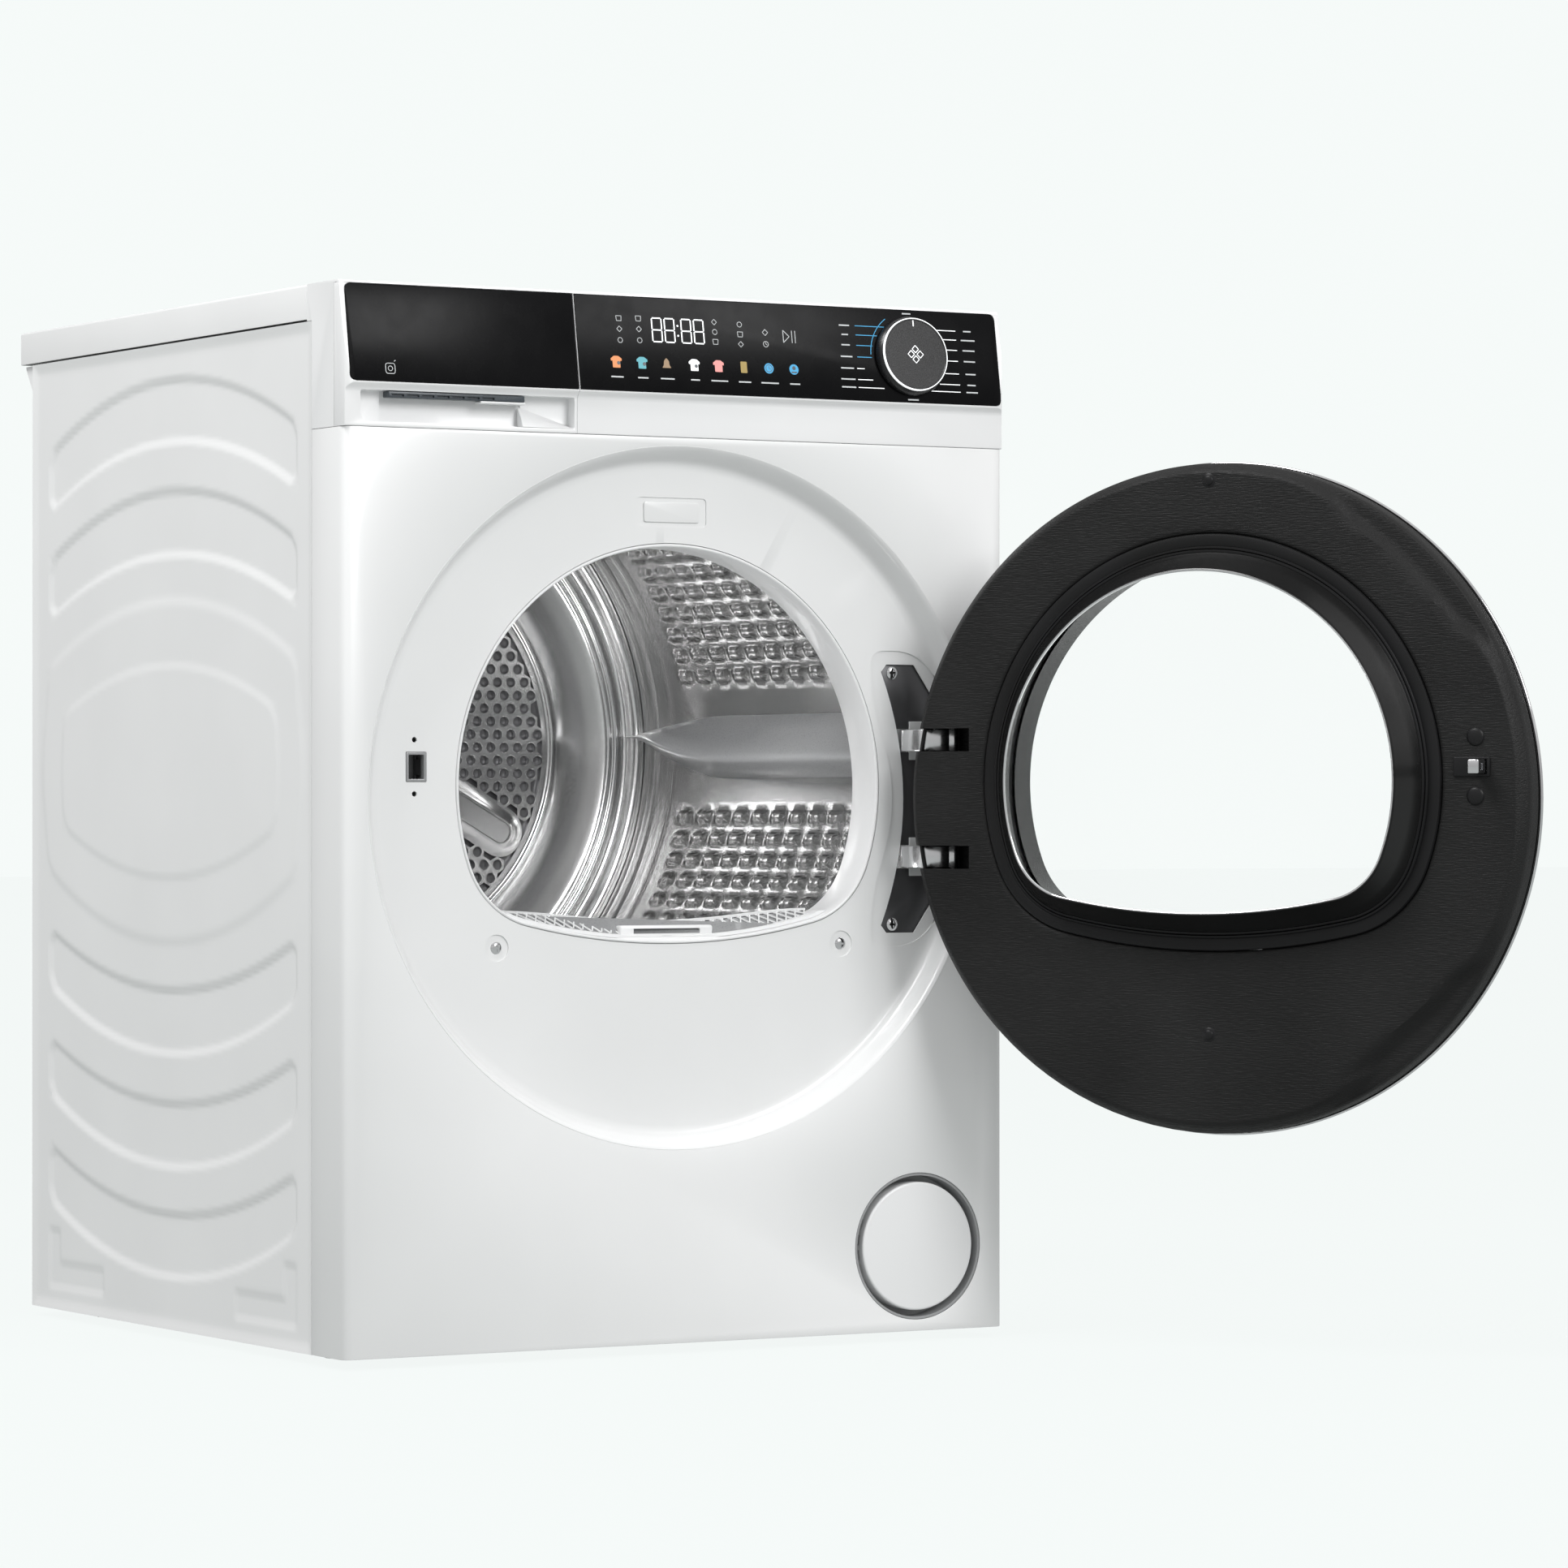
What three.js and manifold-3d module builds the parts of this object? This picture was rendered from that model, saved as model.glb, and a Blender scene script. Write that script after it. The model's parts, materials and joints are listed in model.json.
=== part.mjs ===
// A front-loading heat-pump clothes dryer, standing on four feet, with its round door open.
// Millimetres, +Z up, +X to the right when facing the door, front panel facing -Y.
// The origin is the centre of the base pan's underside.
import * as THREE from "three";
import { mergeVertices } from "three/addons/utils/BufferGeometryUtils.js";
import Module from "manifold-3d";

const wasm = await Module();
wasm.setup();

// ---------------------------------------------------------------- driving dimensions
const GAP = 0.3; // between neighbours that touch on the real machine
const HALF = 297.5; // half the cabinet's width
const DEPTH = 592; // front panel to the back edge of the side panels
const OVERHANG = 26; // worktop behind the side panels
const TOP = 823; // worktop above the cabinet's bottom edge
const SKIRT = 28.5; // height of the worktop's edge
const SEAM_Z = 711; // joint between front panel and control panel
const RETURN = 54.7; // how far the front panel wraps round the sides
const CAP_RETURN = 63; // the same for the top of the control panel
const CORNER = 9; // radius of the front vertical edges
const SHEET = 1.5; // pressed steel
const PLASTIC = 2.5; // moulded walls

const DISH = { z: 428, rim: 276, floor: 262, depth: 19.5 };
const MOUTH = { half: 191.5, top: 628.7, bottom: 312.8 };
const THROAT_BACK = 50;

const LEAN = Math.atan2(12.4, 76.3); // control glass leans back
const GLASS = { foot: new THREE.Vector3(0, -4.6, 745), height: 76.4, half: 293.3, thick: 2.2 };
const DRAWER_X = -95; // right-hand edge of the tank drawer
const KNOB = { x: 209.5, s: 38, radius: 32.5 };

const DRUM = { z: 473, radius: 272, sheet: 1.2, front: 58, back: 541 };
const BELT = { front: 300, width: 12, thick: 2.4 };
const PULLEY = { x: -165, z: 120, radius: 10 };
const IDLER = { x: -85, z: 112, radius: 18 };
const ROLLER = { radius: 20, front: 66, width: 20, angle: (40 * Math.PI) / 180 };

const HINGE = new THREE.Vector3(238.2, -18.5, 0);
const DOOR_OPEN = (122 * Math.PI) / 180;
const DOOR = { z: 427.5, rim: 262, face: 17, back: -10 };
const ARM_OFFSET = 46.8; // hinge arms above and below the door's centre
const ARM_HEIGHT = 17.4;
const PIN_RADIUS = 3;
const LATCH = { x: -225.5, z: 451.6 };
const FOOT = { x: 240, front: 105, back: 540, radius: 20, drop: 8 };
const SERVICE = { x: 216.5, z: 68, ring: 59, cap: 51.5 };
const TANK = { left: -290, right: -99.5, back: 440, bottom: 738.5, top: 789 };

// ---------------------------------------------------------------- solids
// A three.js geometry as a manifold-3d solid, its faces turned outwards.
function solid(geometry) {
  const bare = geometry.clone();
  bare.deleteAttribute("normal");
  bare.deleteAttribute("uv");
  const merged = mergeVertices(bare, 1e-4);
  const make = (triVerts) =>
    new wasm.Manifold(
      new wasm.Mesh({ numProp: 3, vertProperties: merged.attributes.position.array, triVerts }),
    );
  const triangles = new Uint32Array(merged.index.array);
  const made = make(triangles);
  return made.volume() > 0 ? made : make(triangles.reverse());
}

function geometryOf(manifold) {
  const mesh = manifold.getMesh();
  const geometry = new THREE.BufferGeometry();
  geometry.setAttribute("position", new THREE.BufferAttribute(mesh.vertProperties, 3));
  geometry.setIndex(new THREE.BufferAttribute(mesh.triVerts, 1));
  geometry.computeVertexNormals();
  return geometry;
}

const join = (first, ...rest) => rest.reduce((all, one) => all.add(one), first);
const cut = (first, ...rest) => rest.reduce((all, one) => all.subtract(one), first);

function block(x0, x1, y0, y1, z0, z1) {
  const box = new THREE.BoxGeometry(x1 - x0, y1 - y0, z1 - z0);
  return solid(box.translate((x0 + x1) / 2, (y0 + y1) / 2, (z0 + z1) / 2));
}

// A round bar along Y.
function barY(radius, x, z, y0, y1, sides = 20) {
  const bar = new THREE.CylinderGeometry(radius, radius, y1 - y0, sides);
  return solid(bar.translate(x, (y0 + y1) / 2, z));
}

// A round bar along Z.
function barZ(radius, x, y, z0, z1, sides = 16) {
  const bar = new THREE.CylinderGeometry(radius, radius, z1 - z0, sides).rotateX(Math.PI / 2);
  return solid(bar.translate(x, y, (z0 + z1) / 2));
}

// A closed profile of [radius, y] points turned about a line along Y through (x, z).
function turned(profile, x, z, sides = 40) {
  const points = [...profile, profile[0]].map(([r, y]) => new THREE.Vector2(r, y));
  return solid(new THREE.LatheGeometry(points, sides).translate(x, 0, z));
}

// A shape drawn in X and Z, pushed along Y.
function slabY(shape, y0, y1, curveSegments = 8) {
  const options = { depth: y1 - y0, bevelEnabled: false, curveSegments };
  return solid(new THREE.ExtrudeGeometry(shape, options).rotateX(Math.PI / 2).translate(0, y1, 0));
}

// A shape drawn in X and Y, pushed along Z.
function slabZ(shape, z0, z1, curveSegments = 6) {
  const options = { depth: z1 - z0, bevelEnabled: false, curveSegments };
  return solid(new THREE.ExtrudeGeometry(shape, options).translate(0, 0, z0));
}

// A profile drawn in Y and Z, pushed along X.
function slabX(points, x0, x1) {
  const shape = new THREE.Shape(points.map(([y, z]) => new THREE.Vector2(y, z)));
  const swing = new THREE.Matrix4().makeBasis(
    new THREE.Vector3(0, 1, 0),
    new THREE.Vector3(0, 0, 1),
    new THREE.Vector3(1, 0, 0),
  );
  const bar = new THREE.ExtrudeGeometry(shape, { depth: x1 - x0, bevelEnabled: false });
  return solid(bar.applyMatrix4(swing).translate(x0, 0, 0));
}

// A tube of round section along a smooth curve through the points.
function tube(points, radius, steps) {
  const path = new THREE.CatmullRomCurve3(points.map((p) => new THREE.Vector3(...p)));
  const section = new THREE.Shape().absarc(0, 0, radius, 0, Math.PI * 2);
  const options = { steps, bevelEnabled: false, extrudePath: path, curveSegments: 5 };
  return solid(new THREE.ExtrudeGeometry(section, options));
}

function rounded(x0, x1, y0, y1, r) {
  const s = new THREE.Shape().moveTo(x0 + r, y0).lineTo(x1 - r, y0);
  s.absarc(x1 - r, y0 + r, r, -Math.PI / 2, 0).lineTo(x1, y1 - r);
  s.absarc(x1 - r, y1 - r, r, 0, Math.PI / 2).lineTo(x0 + r, y1);
  s.absarc(x0 + r, y1 - r, r, Math.PI / 2, Math.PI).lineTo(x0, y0 + r);
  s.absarc(x0 + r, y0 + r, r, Math.PI, Math.PI * 1.5);
  return s;
}

// The outline shared by the mouth, the throat and the window: a circle of radius half whose
// lower part is closed by a flat curve, with a rounded corner each side.
function archPoints(half, top, bottom, corner = 72, count = 44) {
  const centreZ = top - half;
  const sag = 560; // radius of the bottom curve
  const sagZ = bottom + sag;
  const reach = half - corner;
  const sagReach = sag - corner;
  const span = sagZ - centreZ;
  const filletZ = centreZ + (reach ** 2 - sagReach ** 2 + span ** 2) / (2 * span);
  const filletX = Math.sqrt(reach ** 2 - (filletZ - centreZ) ** 2);
  const sideAngle = Math.atan2(filletZ - centreZ, filletX);
  const sagAngle = Math.atan2(filletZ - sagZ, filletX);
  const arc = (cx, cz, r, a0, a1, n) =>
    Array.from({ length: n }, (_, i) => {
      const a = a0 + ((a1 - a0) * i) / n;
      return new THREE.Vector2(cx + r * Math.cos(a), cz + r * Math.sin(a));
    });
  const small = Math.round(count / 7);
  return [
    ...arc(0, centreZ, half, sideAngle, Math.PI - sideAngle, count - 2 * small - 4),
    ...arc(-filletX, filletZ, corner, Math.PI - sideAngle, Math.PI - sagAngle, small),
    ...arc(0, sagZ, sag, -Math.PI - sagAngle, sagAngle, 4),
    ...arc(filletX, filletZ, corner, sagAngle, sideAngle, small),
  ];
}

const archShape = (half, top, bottom, corner) =>
  new THREE.Shape(archPoints(half, top, bottom, corner));

// The mouth's outline moved inwards by inset.
const mouthArch = (inset) =>
  archShape(MOUTH.half - inset, MOUTH.top - inset, MOUTH.bottom + inset, 72 - inset);

// A solid skinned over two outlines of the same number of points, at y0 and at y1.
function loft(outline0, y0, outline1, y1) {
  const n = outline0.length;
  const position = [...outline0.map((p) => [p.x, y0, p.y]), ...outline1.map((p) => [p.x, y1, p.y])];
  const index = [];
  for (let i = 0; i < n; i++) {
    const j = (i + 1) % n;
    index.push(i, j, n + j, i, n + j, n + i);
  }
  const turns = Math.sign(THREE.ShapeUtils.area(outline0));
  for (const cap of THREE.ShapeUtils.triangulateShape(outline0, [])) {
    const corners = cap.map((k) => outline0[k]);
    const [a, b, c] = Math.sign(THREE.ShapeUtils.area(corners)) === turns ? cap : cap.reverse();
    index.push(c, b, a, n + a, n + b, n + c);
  }
  const geometry = new THREE.BufferGeometry();
  geometry.setAttribute("position", new THREE.Float32BufferAttribute(position.flat(), 3));
  return solid(geometry.setIndex(index));
}

// ---------------------------------------------------------------- the leaning control face
const onGlass = new THREE.Matrix4()
  .makeBasis(
    new THREE.Vector3(1, 0, 0),
    new THREE.Vector3(0, Math.sin(LEAN), Math.cos(LEAN)),
    new THREE.Vector3(0, -Math.cos(LEAN), Math.sin(LEAN)),
  )
  .setPosition(GLASS.foot);

// A shape drawn on the leaning face, reaching from depth n0 to n1 along its outward normal.
function leaned(shape, n0, n1, curveSegments = 5) {
  const options = { depth: n1 - n0, bevelEnabled: false, curveSegments };
  return solid(
    new THREE.ExtrudeGeometry(shape, options).translate(0, 0, n0).applyMatrix4(onGlass),
  );
}

const leanedDisc = (radius, n0, n1, sides = 24) => {
  const disc = new THREE.CylinderGeometry(radius, radius, n1 - n0, sides).rotateX(Math.PI / 2);
  return solid(disc.translate(KNOB.x, KNOB.s, (n0 + n1) / 2).applyMatrix4(onGlass));
};

// ---------------------------------------------------------------- colours and nodes
const shades = {
  enamel: [0xf2f3f3, 0.35, 0.0],
  whitePlastic: [0xf4f5f5, 0.4, 0.0],
  blackGlass: [0x0b0c0d, 0.08, 0.0],
  blackPlastic: [0x18181a, 0.55, 0.0],
  greyPlastic: [0x8d9092, 0.5, 0.0],
  darkMetal: [0x3a3b3d, 0.4, 0.7],
  galvanised: [0xa9adb0, 0.45, 0.9],
  stainless: [0xc4c6c8, 0.22, 1.0],
  chrome: [0xe6e8ea, 0.06, 1.0],
  aluminium: [0xb9bcbe, 0.4, 1.0],
  copper: [0xb4703f, 0.3, 1.0],
  rubber: [0x161616, 0.8, 0.0],
  felt: [0x9a978f, 0.95, 0.0],
  clearGlass: [0xdfe7e8, 0.03, 0.0],
  circuit: [0x1f4a33, 0.6, 0.0],
};

function named(name, manifold, shade) {
  const [color, roughness, metalness] = shades[shade];
  const material = new THREE.MeshStandardMaterial({ color, roughness, metalness });
  const mesh = new THREE.Mesh(geometryOf(manifold), material);
  mesh.name = name;
  return mesh;
}

// ---------------------------------------------------------------- cabinet
function frontPanel() {
  const wrap = new THREE.Shape().moveTo(-HALF, RETURN).lineTo(-HALF, CORNER);
  wrap.absarc(CORNER - HALF, CORNER, CORNER, Math.PI, Math.PI * 1.5);
  wrap.lineTo(HALF - CORNER, 0);
  wrap.absarc(HALF - CORNER, CORNER, CORNER, -Math.PI / 2, 0).lineTo(HALF, RETURN);
  const inner = CORNER - SHEET;
  wrap.lineTo(HALF - SHEET, RETURN).lineTo(HALF - SHEET, CORNER);
  wrap.absarc(HALF - CORNER, CORNER, inner, 0, -Math.PI / 2, true);
  wrap.lineTo(CORNER - HALF, SHEET);
  wrap.absarc(CORNER - HALF, CORNER, inner, -Math.PI / 2, -Math.PI, true);
  wrap.lineTo(SHEET - HALF, RETURN);
  const top = SEAM_Z - GAP;
  const edge = HALF - 1;
  const shell = join(
    slabZ(wrap, 0, top),
    block(-edge + CORNER, edge - CORNER, 0.5, 18, 0, SHEET),
    block(-edge + CORNER, edge - CORNER, 0.5, 18, top - SHEET, top),
  );
  const { rim, floor, depth, z } = DISH;
  const dish = turned(
    [
      [0, depth],
      [floor, depth],
      [270, 14],
      [rim - 1.5, 3],
      [rim, 0],
      [rim + 3, 0],
      [rim + 1.5, 4],
      [271.6, 15.4],
      [floor + 0.8, depth + SHEET],
      [0, depth + SHEET],
    ],
    0,
    z,
    44,
  );
  const latchHole = block(LATCH.x - 9, LATCH.x + 9, 10, 30, LATCH.z - 11.7, LATCH.z + 11.7);
  return join(cut(shell, barY(rim + 1, 0, z, -5, SHEET + 5, 44)), dish)
    .subtract(slabY(mouthArch(0), 5, 30))
    .subtract(slabY(hingeOutline(0), 5, 30))
    .subtract(latchHole)
    .subtract(barY(SERVICE.ring, SERVICE.x, SERVICE.z, -5, SHEET + 5, 32));
}

// The outline of the hinge pocket, moved inwards by inset; its inner side follows the mouth.
function hingeOutline(inset) {
  const z = DOOR.z;
  const high = 108 - inset;
  const right = 250 - inset;
  const left = 194 + inset;
  const s = new THREE.Shape().moveTo(left, z - high + 6).lineTo(left + 5, z - high);
  s.lineTo(225 - inset, z - high).lineTo(right, z - 72).lineTo(right, z + 72);
  s.lineTo(225 - inset, z + high).lineTo(left + 5, z + high).lineTo(left, z + high - 6);
  s.quadraticCurveTo(left + 42, z, left, z - high + 6);
  return s;
}

function sidePanel(side) {
  const outer = [side * HALF, side * (HALF - 12)].sort((a, b) => a - b);
  const inner = [side * (HALF - SHEET), side * (HALF - 14)].sort((a, b) => a - b);
  const front = RETURN + GAP;
  const top = TOP - SKIRT - GAP;
  return cut(
    block(...outer, front, DEPTH, 0, top),
    block(...inner, front - 5, DEPTH - SHEET, SHEET, top - SHEET),
  );
}

function rearPanel() {
  const back = DEPTH - SHEET - GAP;
  const side = HALF - SHEET - GAP;
  let plate = block(-side, side, back - SHEET, back, 18, TOP - SKIRT - SHEET - 2 * GAP);
  for (let row = 0; row < 5; row++) {
    for (const x of [-200, 90]) {
      plate = plate.subtract(block(x, x + 110, back - 9, back + 9, 90 + row * 22, 99 + row * 22));
    }
  }
  return plate.subtract(block(-262, -218, back - 9, back + 9, 60, 90));
}

function worktop() {
  const front = CAP_RETURN + GAP;
  const back = DEPTH + OVERHANG;
  const low = TOP - SKIRT;
  return cut(
    block(-HALF, HALF, front, back, low, TOP),
    block(-HALF + 3, HALF - 3, front + 3, back - 3, low - 5, TOP - 4),
  );
}

function rearTopRail() {
  const top = TOP - SKIRT - GAP;
  const front = DEPTH + GAP;
  return slabX(
    [
      [front, top],
      [front, top - 30],
      [front + 8, top - 22],
      [front + 22, top - 2],
      [front + 22, top],
    ],
    -HALF + 4,
    HALF - 4,
  );
}

function basePan() {
  const side = HALF - 12 - GAP;
  const [front, back, wall] = [62, DEPTH - SHEET * 2 - 2 * GAP - 1, 45];
  let pan = cut(
    block(-side, side, front, back, 0, wall),
    block(-side + 3, side - 3, front + 3, back - 3, 3, wall + 5),
  );
  // Each foot screws up through a post, and its pad has a shallow well in the underside.
  for (const [x, y] of footPlaces()) pan = pan.add(barZ(FOOT.radius + 5, x, y, 1, wall));
  for (const [x, y] of footPlaces()) {
    pan = pan.subtract(barZ(8.4, x, y, -1, wall + 1)).subtract(barZ(FOOT.radius + 1, x, y, -1, 3));
  }
  return pan;
}

const footPlaces = () => [
  [-FOOT.x, FOOT.front],
  [FOOT.x, FOOT.front],
  [-FOOT.x, FOOT.back],
  [FOOT.x, FOOT.back],
];

function foot(x, y) {
  return join(
    barZ(FOOT.radius, x, y, -FOOT.drop, -GAP),
    barZ(8, x, y, -1, 42, 16),
  );
}

// ---------------------------------------------------------------- control panel and drawer front
// The section of the control panel, from the seam up to the worktop.
function fasciaSection(inset) {
  const lip = GLASS.foot;
  return [
    [inset, SEAM_Z + inset],
    [inset, 740 + inset * 0.5],
    [lip.y + inset, lip.z - 0.6 + inset * 0.2],
    [lip.y + 12.4 + inset, lip.z + 76.3 - inset * 0.4],
    [lip.y + 14.2 + inset, TOP - inset],
    [CAP_RETURN + inset * 9, TOP - inset],
    [CAP_RETURN + inset * 9, TOP - SKIRT],
    [RETURN + inset * 9, TOP - SKIRT],
    [RETURN + inset * 9, SEAM_Z + inset],
  ];
}

function fasciaBody() {
  const plan = rounded(-HALF, HALF, -8, CAP_RETURN + 40, CORNER);
  const rim = new THREE.Shape().moveTo(-HALF, 90).lineTo(-HALF, lipCorner());
  rim.absarc(CORNER - HALF, lipCorner(), CORNER, Math.PI, Math.PI * 1.5);
  rim.lineTo(HALF - CORNER, lipCorner() - CORNER);
  rim.absarc(HALF - CORNER, lipCorner(), CORNER, -Math.PI / 2, 0).lineTo(HALF, 90);
  return slabX(fasciaSection(0), -HALF, HALF)
    .intersect(slabZ(plan, 700, 830))
    .intersect(slabZ(rim, 700, 830));
}

const lipCorner = () => GLASS.foot.y + CORNER;

function glassOutline(x0, x1, inset) {
  return rounded(x0 + inset, x1 - inset, 0.4 + inset, GLASS.height - inset, 5);
}

function controlFascia() {
  const wall = PLASTIC;
  const hollow = slabX(fasciaSection(wall), -HALF + wall, HALF - wall).subtract(
    leaned(rounded(DRAWER_X, HALF, -2, 80, 1), -wall * 2, 5),
  );
  const pocket = leaned(glassOutline(DRAWER_X + 1.5, GLASS.half, -GAP), -GLASS.thick - GAP, 5);
  const drawerSpace = block(-HALF - 5, DRAWER_X, -20, 16.5, 700, TOP - 2);
  return fasciaBody()
    .subtract(hollow)
    .subtract(block(-HALF + wall, HALF - wall, 44, 90, SEAM_Z - 5, SEAM_Z + 9))
    .subtract(drawerSpace)
    .subtract(pocket)
    .subtract(leanedDisc(9, -12, 5));
}

function controlGlass() {
  return leaned(glassOutline(DRAWER_X + 1.5, GLASS.half, 0), -GLASS.thick, 0).subtract(
    leanedDisc(8.5, -5, 5),
  );
}

const controlBoard = () =>
  leaned(rounded(-80, 278, 8, 66, 2), -9.5, -7.5).subtract(leanedDisc(9, -12, 0));

function programKnob() {
  const cap = new THREE.LatheGeometry(
    [
      [0, 10],
      [KNOB.radius - 3, 10],
      [KNOB.radius, 8],
      [KNOB.radius, 0.6],
      [6, 0.6],
      [6, -16],
      [0, -16],
    ].map(([r, n]) => new THREE.Vector2(r, n)),
    32,
  ).rotateX(Math.PI / 2);
  return solid(cap.translate(KNOB.x, KNOB.s, 0).applyMatrix4(onGlass));
}

// ---------------------------------------------------------------- water tank drawer
function tankFront() {
  const face = fasciaBody().intersect(
    block(-HALF - 5, DRAWER_X - 0.4, -20, 16.2, SEAM_Z, TOP - 2 - GAP),
  );
  const fingers = join(
    slabY(rounded(-283, -97.5, 714, 739, 5), -20, 10.5),
    block(-262, -140, -1, 13, 716, 738),
  );
  const pocket = leaned(glassOutline(-GLASS.half, DRAWER_X - 1.4, -GAP), -GLASS.thick - GAP, 5);
  return face.subtract(fingers).subtract(pocket);
}

const tankGlass = () => leaned(glassOutline(-GLASS.half, DRAWER_X - 1.4, 0), -GLASS.thick, 0);

function waterTank() {
  const { left, right, back, bottom, top } = TANK;
  const shell = slabZ(rounded(left, right, 16.6, back, 8), bottom, top);
  const water = slabZ(rounded(left + 2, right - 2, 18.6, back - 2, 6), bottom + 2, top - 2);
  return shell.subtract(water).subtract(barZ(14, -195, back - 40, top - 9, top + 9, 16));
}

function tankTray() {
  const { left, right, back, bottom } = TANK;
  return join(
    block(left - 3, right + 0.8, 66, back + 12, bottom - 3.5, bottom - 1.5),
    block(left - 3, left - 1, 66, back + 12, bottom - 3.5, bottom + 30),
    block(left - 3, right + 0.8, back + 10, back + 12, bottom - 3.5, bottom + 30),
  );
}

// ---------------------------------------------------------------- drum and what carries it
function drumWrapper() {
  const { radius, sheet, front, back } = DRUM;
  return turned(
    [
      [262, front],
      [radius + sheet, front],
      [radius + sheet, back],
      [radius, back],
      [radius, front + sheet],
      [262, front + sheet],
    ],
    0,
    DRUM.z,
    48,
  );
}

function drumBack() {
  const { radius, sheet, back } = DRUM;
  const seam = back + GAP;
  return turned(
    [
      [0, 552],
      [178, 552],
      [192, 547.5],
      [238, 546],
      [242, 543.5],
      [radius + sheet, seam],
      [radius + sheet, seam + 2],
      [243, 546],
      [194, 549.5],
      [180, 554],
      [14, 554],
      [14, 572],
      [0, 572],
    ],
    0,
    DRUM.z,
    48,
  );
}

// One lifter, on the drum's wall at the given angle round its axis.
function lifter(angle) {
  const reach = DRUM.radius - 1.8;
  const section = [
    [-27, reach],
    [27, reach],
    [17, reach - 34],
    [4, reach - 58],
    [-4, reach - 58],
    [-17, reach - 34],
  ].map(([t, r]) => new THREE.Vector2(t, r));
  const tip = section.map((p) => new THREE.Vector2(p.x * 0.3, reach - 1 - (reach - p.y) * 0.12));
  const middle = section.map((p) => p.clone());
  return join(loft(section, 76, middle, 400), loft(middle, 400, tip, 500))
    .rotate([0, 90 - angle, 0])
    .translate([0, 0, DRUM.z]);
}

function rollerPlace(side) {
  const reach = DRUM.radius + DRUM.sheet + GAP + ROLLER.radius;
  return [side * reach * Math.sin(ROLLER.angle), DRUM.z - reach * Math.cos(ROLLER.angle)];
}

function roller(side) {
  const [x, z] = rollerPlace(side);
  const [y0, y1] = [ROLLER.front, ROLLER.front + ROLLER.width];
  return barY(ROLLER.radius, x, z, y0, y1).subtract(barY(5.2, x, z, y0 - 5, y1 + 5, 16));
}

function frontBulkhead() {
  const back = THROAT_BACK + 3;
  let plate = block(-284, 284, THROAT_BACK, back, 150, 752);
  plate = plate.subtract(block(-300, DRAWER_X + 3, THROAT_BACK - 5, back + 5, 732, 760));
  const throat = slabY(mouthArch(0.4), 18.6, 56.5).subtract(slabY(mouthArch(2.9), 10, 70));
  const well = block(-124, 124, 23, THROAT_BACK + 1, 160, 330);
  const hollow = block(-121.5, 121.5, 25.5, 47.5, 100, 340);
  let made = join(plate, well)
    .subtract(slabY(mouthArch(2.9), 10, 70))
    .add(throat)
    .subtract(hollow);
  for (const side of [-1, 1]) {
    const [x, z] = rollerPlace(side);
    made = made.add(barY(4.8, x, z, THROAT_BACK + 1, ROLLER.front + ROLLER.width + 2, 16));
  }
  const armRoom = [-1, 1].map((side) => {
    const z = DOOR.z + side * ARM_OFFSET;
    return block(196, 262, 20, 40, z - 20, z + 20);
  });
  return cut(made, ...armRoom);
}

const drumFelt = () =>
  turned(
    [
      [263, THROAT_BACK + 3.4],
      [272, THROAT_BACK + 3.4],
      [272, DRUM.front - 0.4],
      [263, DRUM.front - 0.4],
    ],
    0,
    DRUM.z,
  );

function rearBulkhead() {
  let plate = block(-284, 284, 562, 563.5, 150, 785).subtract(barY(22, 0, DRUM.z, 550, 575));
  for (let i = 0; i < 8; i++) {
    const a = (i * Math.PI) / 4;
    const [x, z] = [110 * Math.cos(a), DRUM.z + 110 * Math.sin(a)];
    plate = plate.subtract(barY(26, x, z, 550, 575, 12));
  }
  return plate.subtract(block(PULLEY.x - 35, PULLEY.x + 35, 550, 575, 165, 220));
}

const rearBearing = () =>
  turned(
    [
      [14.4, 560],
      [21.6, 560],
      [21.6, 570],
      [14.4, 570],
    ],
    0,
    DRUM.z,
    24,
  );

// An open box over the back of the rear bulkhead, with a neck down to the fan's outlet.
function rearDuct() {
  const outline = (grow) =>
    join(
      barY(150 + grow, 0, DRUM.z, 500, 600, 32),
      block(-215 - grow, -115 + grow, 500, 600, 150 - grow, 330 + grow),
      block(-130 - grow, -20 + grow, 500, 600, 290 - grow, 360 + grow),
    );
  const band = (y0, y1) => block(-280, 280, y0, y1, 80, 700);
  return cut(outline(0).intersect(band(564, 586)), outline(-2).intersect(band(560, 584)));
}

// ---------------------------------------------------------------- belt drive
// The loop round a set of circles given counter-clockwise, each grown by the same amount.
function beltLoop(circles, grow) {
  const points = [];
  const tangents = circles.map((a, i) => {
    const b = circles[(i + 1) % circles.length];
    const [dx, dz] = [b.x - a.x, b.z - a.z];
    const along = Math.atan2(dz, dx);
    return along - Math.acos((a.radius - b.radius) / Math.hypot(dx, dz));
  });
  circles.forEach((c, i) => {
    let from = tangents[(i + circles.length - 1) % circles.length];
    let to = tangents[i];
    while (to < from) to += Math.PI * 2;
    while (to - from > Math.PI * 2) to -= Math.PI * 2;
    const count = Math.max(3, Math.ceil((to - from) / 0.12));
    for (let k = 0; k <= count; k++) {
      const a = from + ((to - from) * k) / count;
      const r = c.radius + grow;
      points.push(new THREE.Vector2(c.x + r * Math.cos(a), c.z + r * Math.sin(a)));
    }
  });
  return points;
}

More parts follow.
